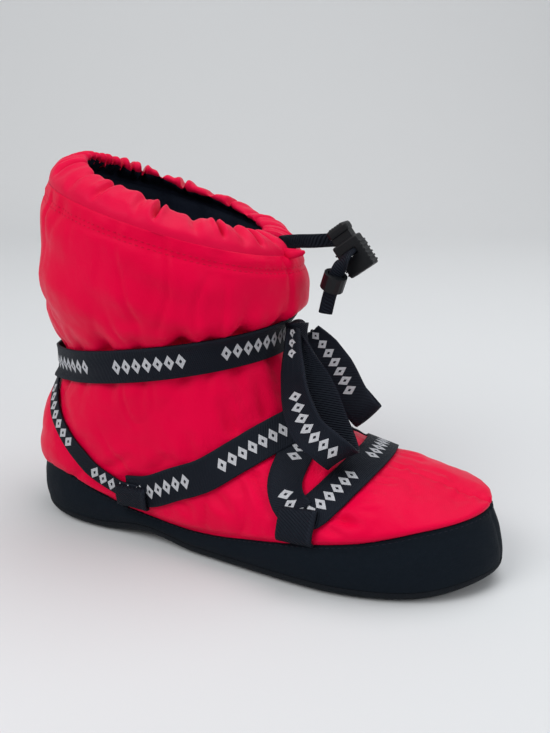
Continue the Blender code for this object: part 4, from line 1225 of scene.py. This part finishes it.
cord = gridPiece("drawcord_webbing", cordGrid, [finishes["cord"]], uvSize=uvSize, closed=(True, False))
closeHoles(cord)
settle(cord, "drawcord")
print("drawcord is", round(float(runAlong(cordPath)[-1]), 4), "m long")
for node in ("insole", "cord_lock_body", "cord_lock_button", "cord_stop"):
    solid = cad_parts[node]
    solid.data.materials.clear()
    solid.data.materials.append(finishes["footbed" if node == "insole" else "plastic"])

lockForm = {
    "tilt": math.radians(-37),
    "width": 0.016,
    "depth": 0.011,
    "length": 0.020,
    "travel": 0.0035,
    "fit": 0.0003,
    "head": 0.0055,
    "ribs": 6,
    "ribPitch": 0.0026,
    "firstRib": -0.0078,
    "ribOut": 0.0013,
    "ribHigh": 0.0011,
    "ribReach": 0.86,
    "ridges": (-0.0036, -0.0018, 0, 0.0018, 0.0036),
    "ridgeSize": (0.0010, 0.0075, 0.0007),
}
axis = Vector((math.sin(lockForm["tilt"]), 0, math.cos(lockForm["tilt"])))
through = Vector((0, -1, 0))
lockTurn = Matrix((through.cross(axis), through, axis)).transposed().to_4x4()
lockFrame = Matrix.Translation(drawcord["lock"]) @ lockTurn


def addMesh(name, bm, finish, body):
    # Turns a bmesh into a piece of its own on a body
    mesh = bpy.data.meshes.new(name)
    bm.to_mesh(mesh)
    bm.free()
    mesh.materials.append(finishes[finish])
    made = bpy.data.objects.new(name, mesh)
    bpy.context.scene.collection.objects.link(made)
    return settle(made, None, body)


def ribbedPiece(name, bars, body, finish):
    # Small rounded bars in the lock's own axes: middle and size
    bm = bmesh.new()
    for middle, size in bars:
        made = bmesh.ops.create_cube(bm, size=1.0)["verts"]
        bmesh.ops.scale(bm, vec=size, verts=made)
        bmesh.ops.translate(bm, vec=middle, verts=made)
    bevel = {"offset": 0.0002, "segments": 2, "profile": 0.5, "affect": "EDGES", "material": -1}
    bmesh.ops.bevel(bm, geom=bm.edges[:], clamp_overlap=True, **bevel)
    bmesh.ops.transform(bm, matrix=lockFrame, verts=bm.verts)
    addMesh(name, bm, finish, body)


ribSize = (lockForm["ribOut"], lockForm["depth"] * lockForm["ribReach"], lockForm["ribHigh"])
bars = []
for k in range(lockForm["ribs"]):
    z = lockForm["firstRib"] + k * lockForm["ribPitch"]
    for face in (-1, 1):
        bars.append(((face * lockForm["width"] / 2, 0, z), ribSize))
ribbedPiece("lock_ribs", bars, "boot", "greyPlastic")
top = lockForm["length"] / 2 + lockForm["travel"] + lockForm["fit"] + lockForm["head"]
bars = [((x, 0, top), lockForm["ridgeSize"]) for x in lockForm["ridges"]]
ribbedPiece("button_ridges", bars, "button", "plastic")
print("drawcord and lock")


# Stitches, one small thread stitch at a time
stitchForm = {
    "spacing": 0.0034,
    "along": 0.0012,
    "across": 0.00034,
    "high": 0.00028,
    "hemRows": (0.0072, 0.0098),
}


def stitches(name, rowsOfPlaces, finish):
    bm = bmesh.new()
    for places, outward in rowsOfPlaces:
        run = runAlong(places)
        goal = np.arange(stitchForm["spacing"] / 2, run[-1], stitchForm["spacing"])
        spots = placesAt(goal, run, places)
        ups = unit(placesAt(goal, run, outward))
        ways = unit(np.gradient(spots, axis=0))
        for spot, up, way in zip(spots, ups, ways):
            side = unit(np.cross(up, way))
            upright = np.cross(way, side) * stitchForm["high"]
            axes = (way * stitchForm["along"], side * stitchForm["across"], upright)
            turned = Matrix(axes).transposed().to_4x4()
            turned.translation = Vector(spot)
            bmesh.ops.create_icosphere(bm, subdivisions=1, radius=1.0, matrix=turned)
    made = addMesh(name, bm, finish, "boot")
    made.data.shade_smooth()


def shellLine(below):
    # A line round the shell, this far below the casing's seam
    line = []
    for c in range(upperForm["columns"]):
        depth = fromTop[::-1, c]
        line.append([np.interp(below, depth, shell[::-1, c, k]) for k in range(3)])
    line = np.array(line + line[:1])
    out = baseFacing[-3]
    return line, np.concatenate([out, out[:1]])


stitches("hem_stitches", [shellLine(below) for below in stitchForm["hemRows"]], "thread")
seamRow, seamFacing = (np.concatenate([line[-4], line[-4][:1]]) for line in (randPlaces, randFacing))
stitches("rand_stitches", [(seamRow, seamFacing)], "plainWeb")
print("stitches")


# Floor and backdrop in one pale sweep, whose colour carries painted light: darker near the camera, lighter
# towards the back and up the curve
sweep = {
    "near": 2.4,
    "far": 1.1,
    "radius": 0.7,
    "tall": 2.2,
    "halfWidth": 4.0,
    "nearPaperPaintedShade": (0.66, 0.675, 0.69),
    "farPaperPaintedLight": (0.75, 0.76, 0.77),
}
away = np.array((-0.422, 0.906, 0.0))
sideways = np.array((0.906, 0.422, 0.0))
line = [away * d for d in (-sweep["near"], -0.5, 0.5, sweep["far"])]
for k in range(1, 13):
    turn = math.pi / 2 * k / 12
    up = np.array((0, 0, sweep["radius"] * (1 - math.cos(turn))))
    line.append(away * (sweep["far"] + sweep["radius"] * math.sin(turn)) + up)
line.append(line[-1] + np.array((0, 0, sweep["tall"])))
grid = np.array([[p + sideways * w for w in (-sweep["halfWidth"], 0, sweep["halfWidth"])] for p in line])
paper = Finish("pale_paper", 0.85, 0.1)
parts = paper.tree.nodes.new("ShaderNodeSeparateXYZ")
paper.tree.links.new(paper.place, parts.inputs[0])
# Painted light and shade: the paper's colour is graded from darker near the camera to lighter away from it
# and higher up
depth = calc(paper.tree, "ADD", calc(paper.tree, "MULTIPLY", parts.outputs[1], 0.9), parts.outputs[2])
fade = calc(paper.tree, "DIVIDE", calc(paper.tree, "ADD", depth, -0.1), 0.9, clamp=True)
paper.colour(paper.blend(fade, sweep["nearPaperPaintedShade"], sweep["farPaperPaintedLight"]))
floor = gridPiece("floor_sweep", grid, [paper.material])
print("floor")
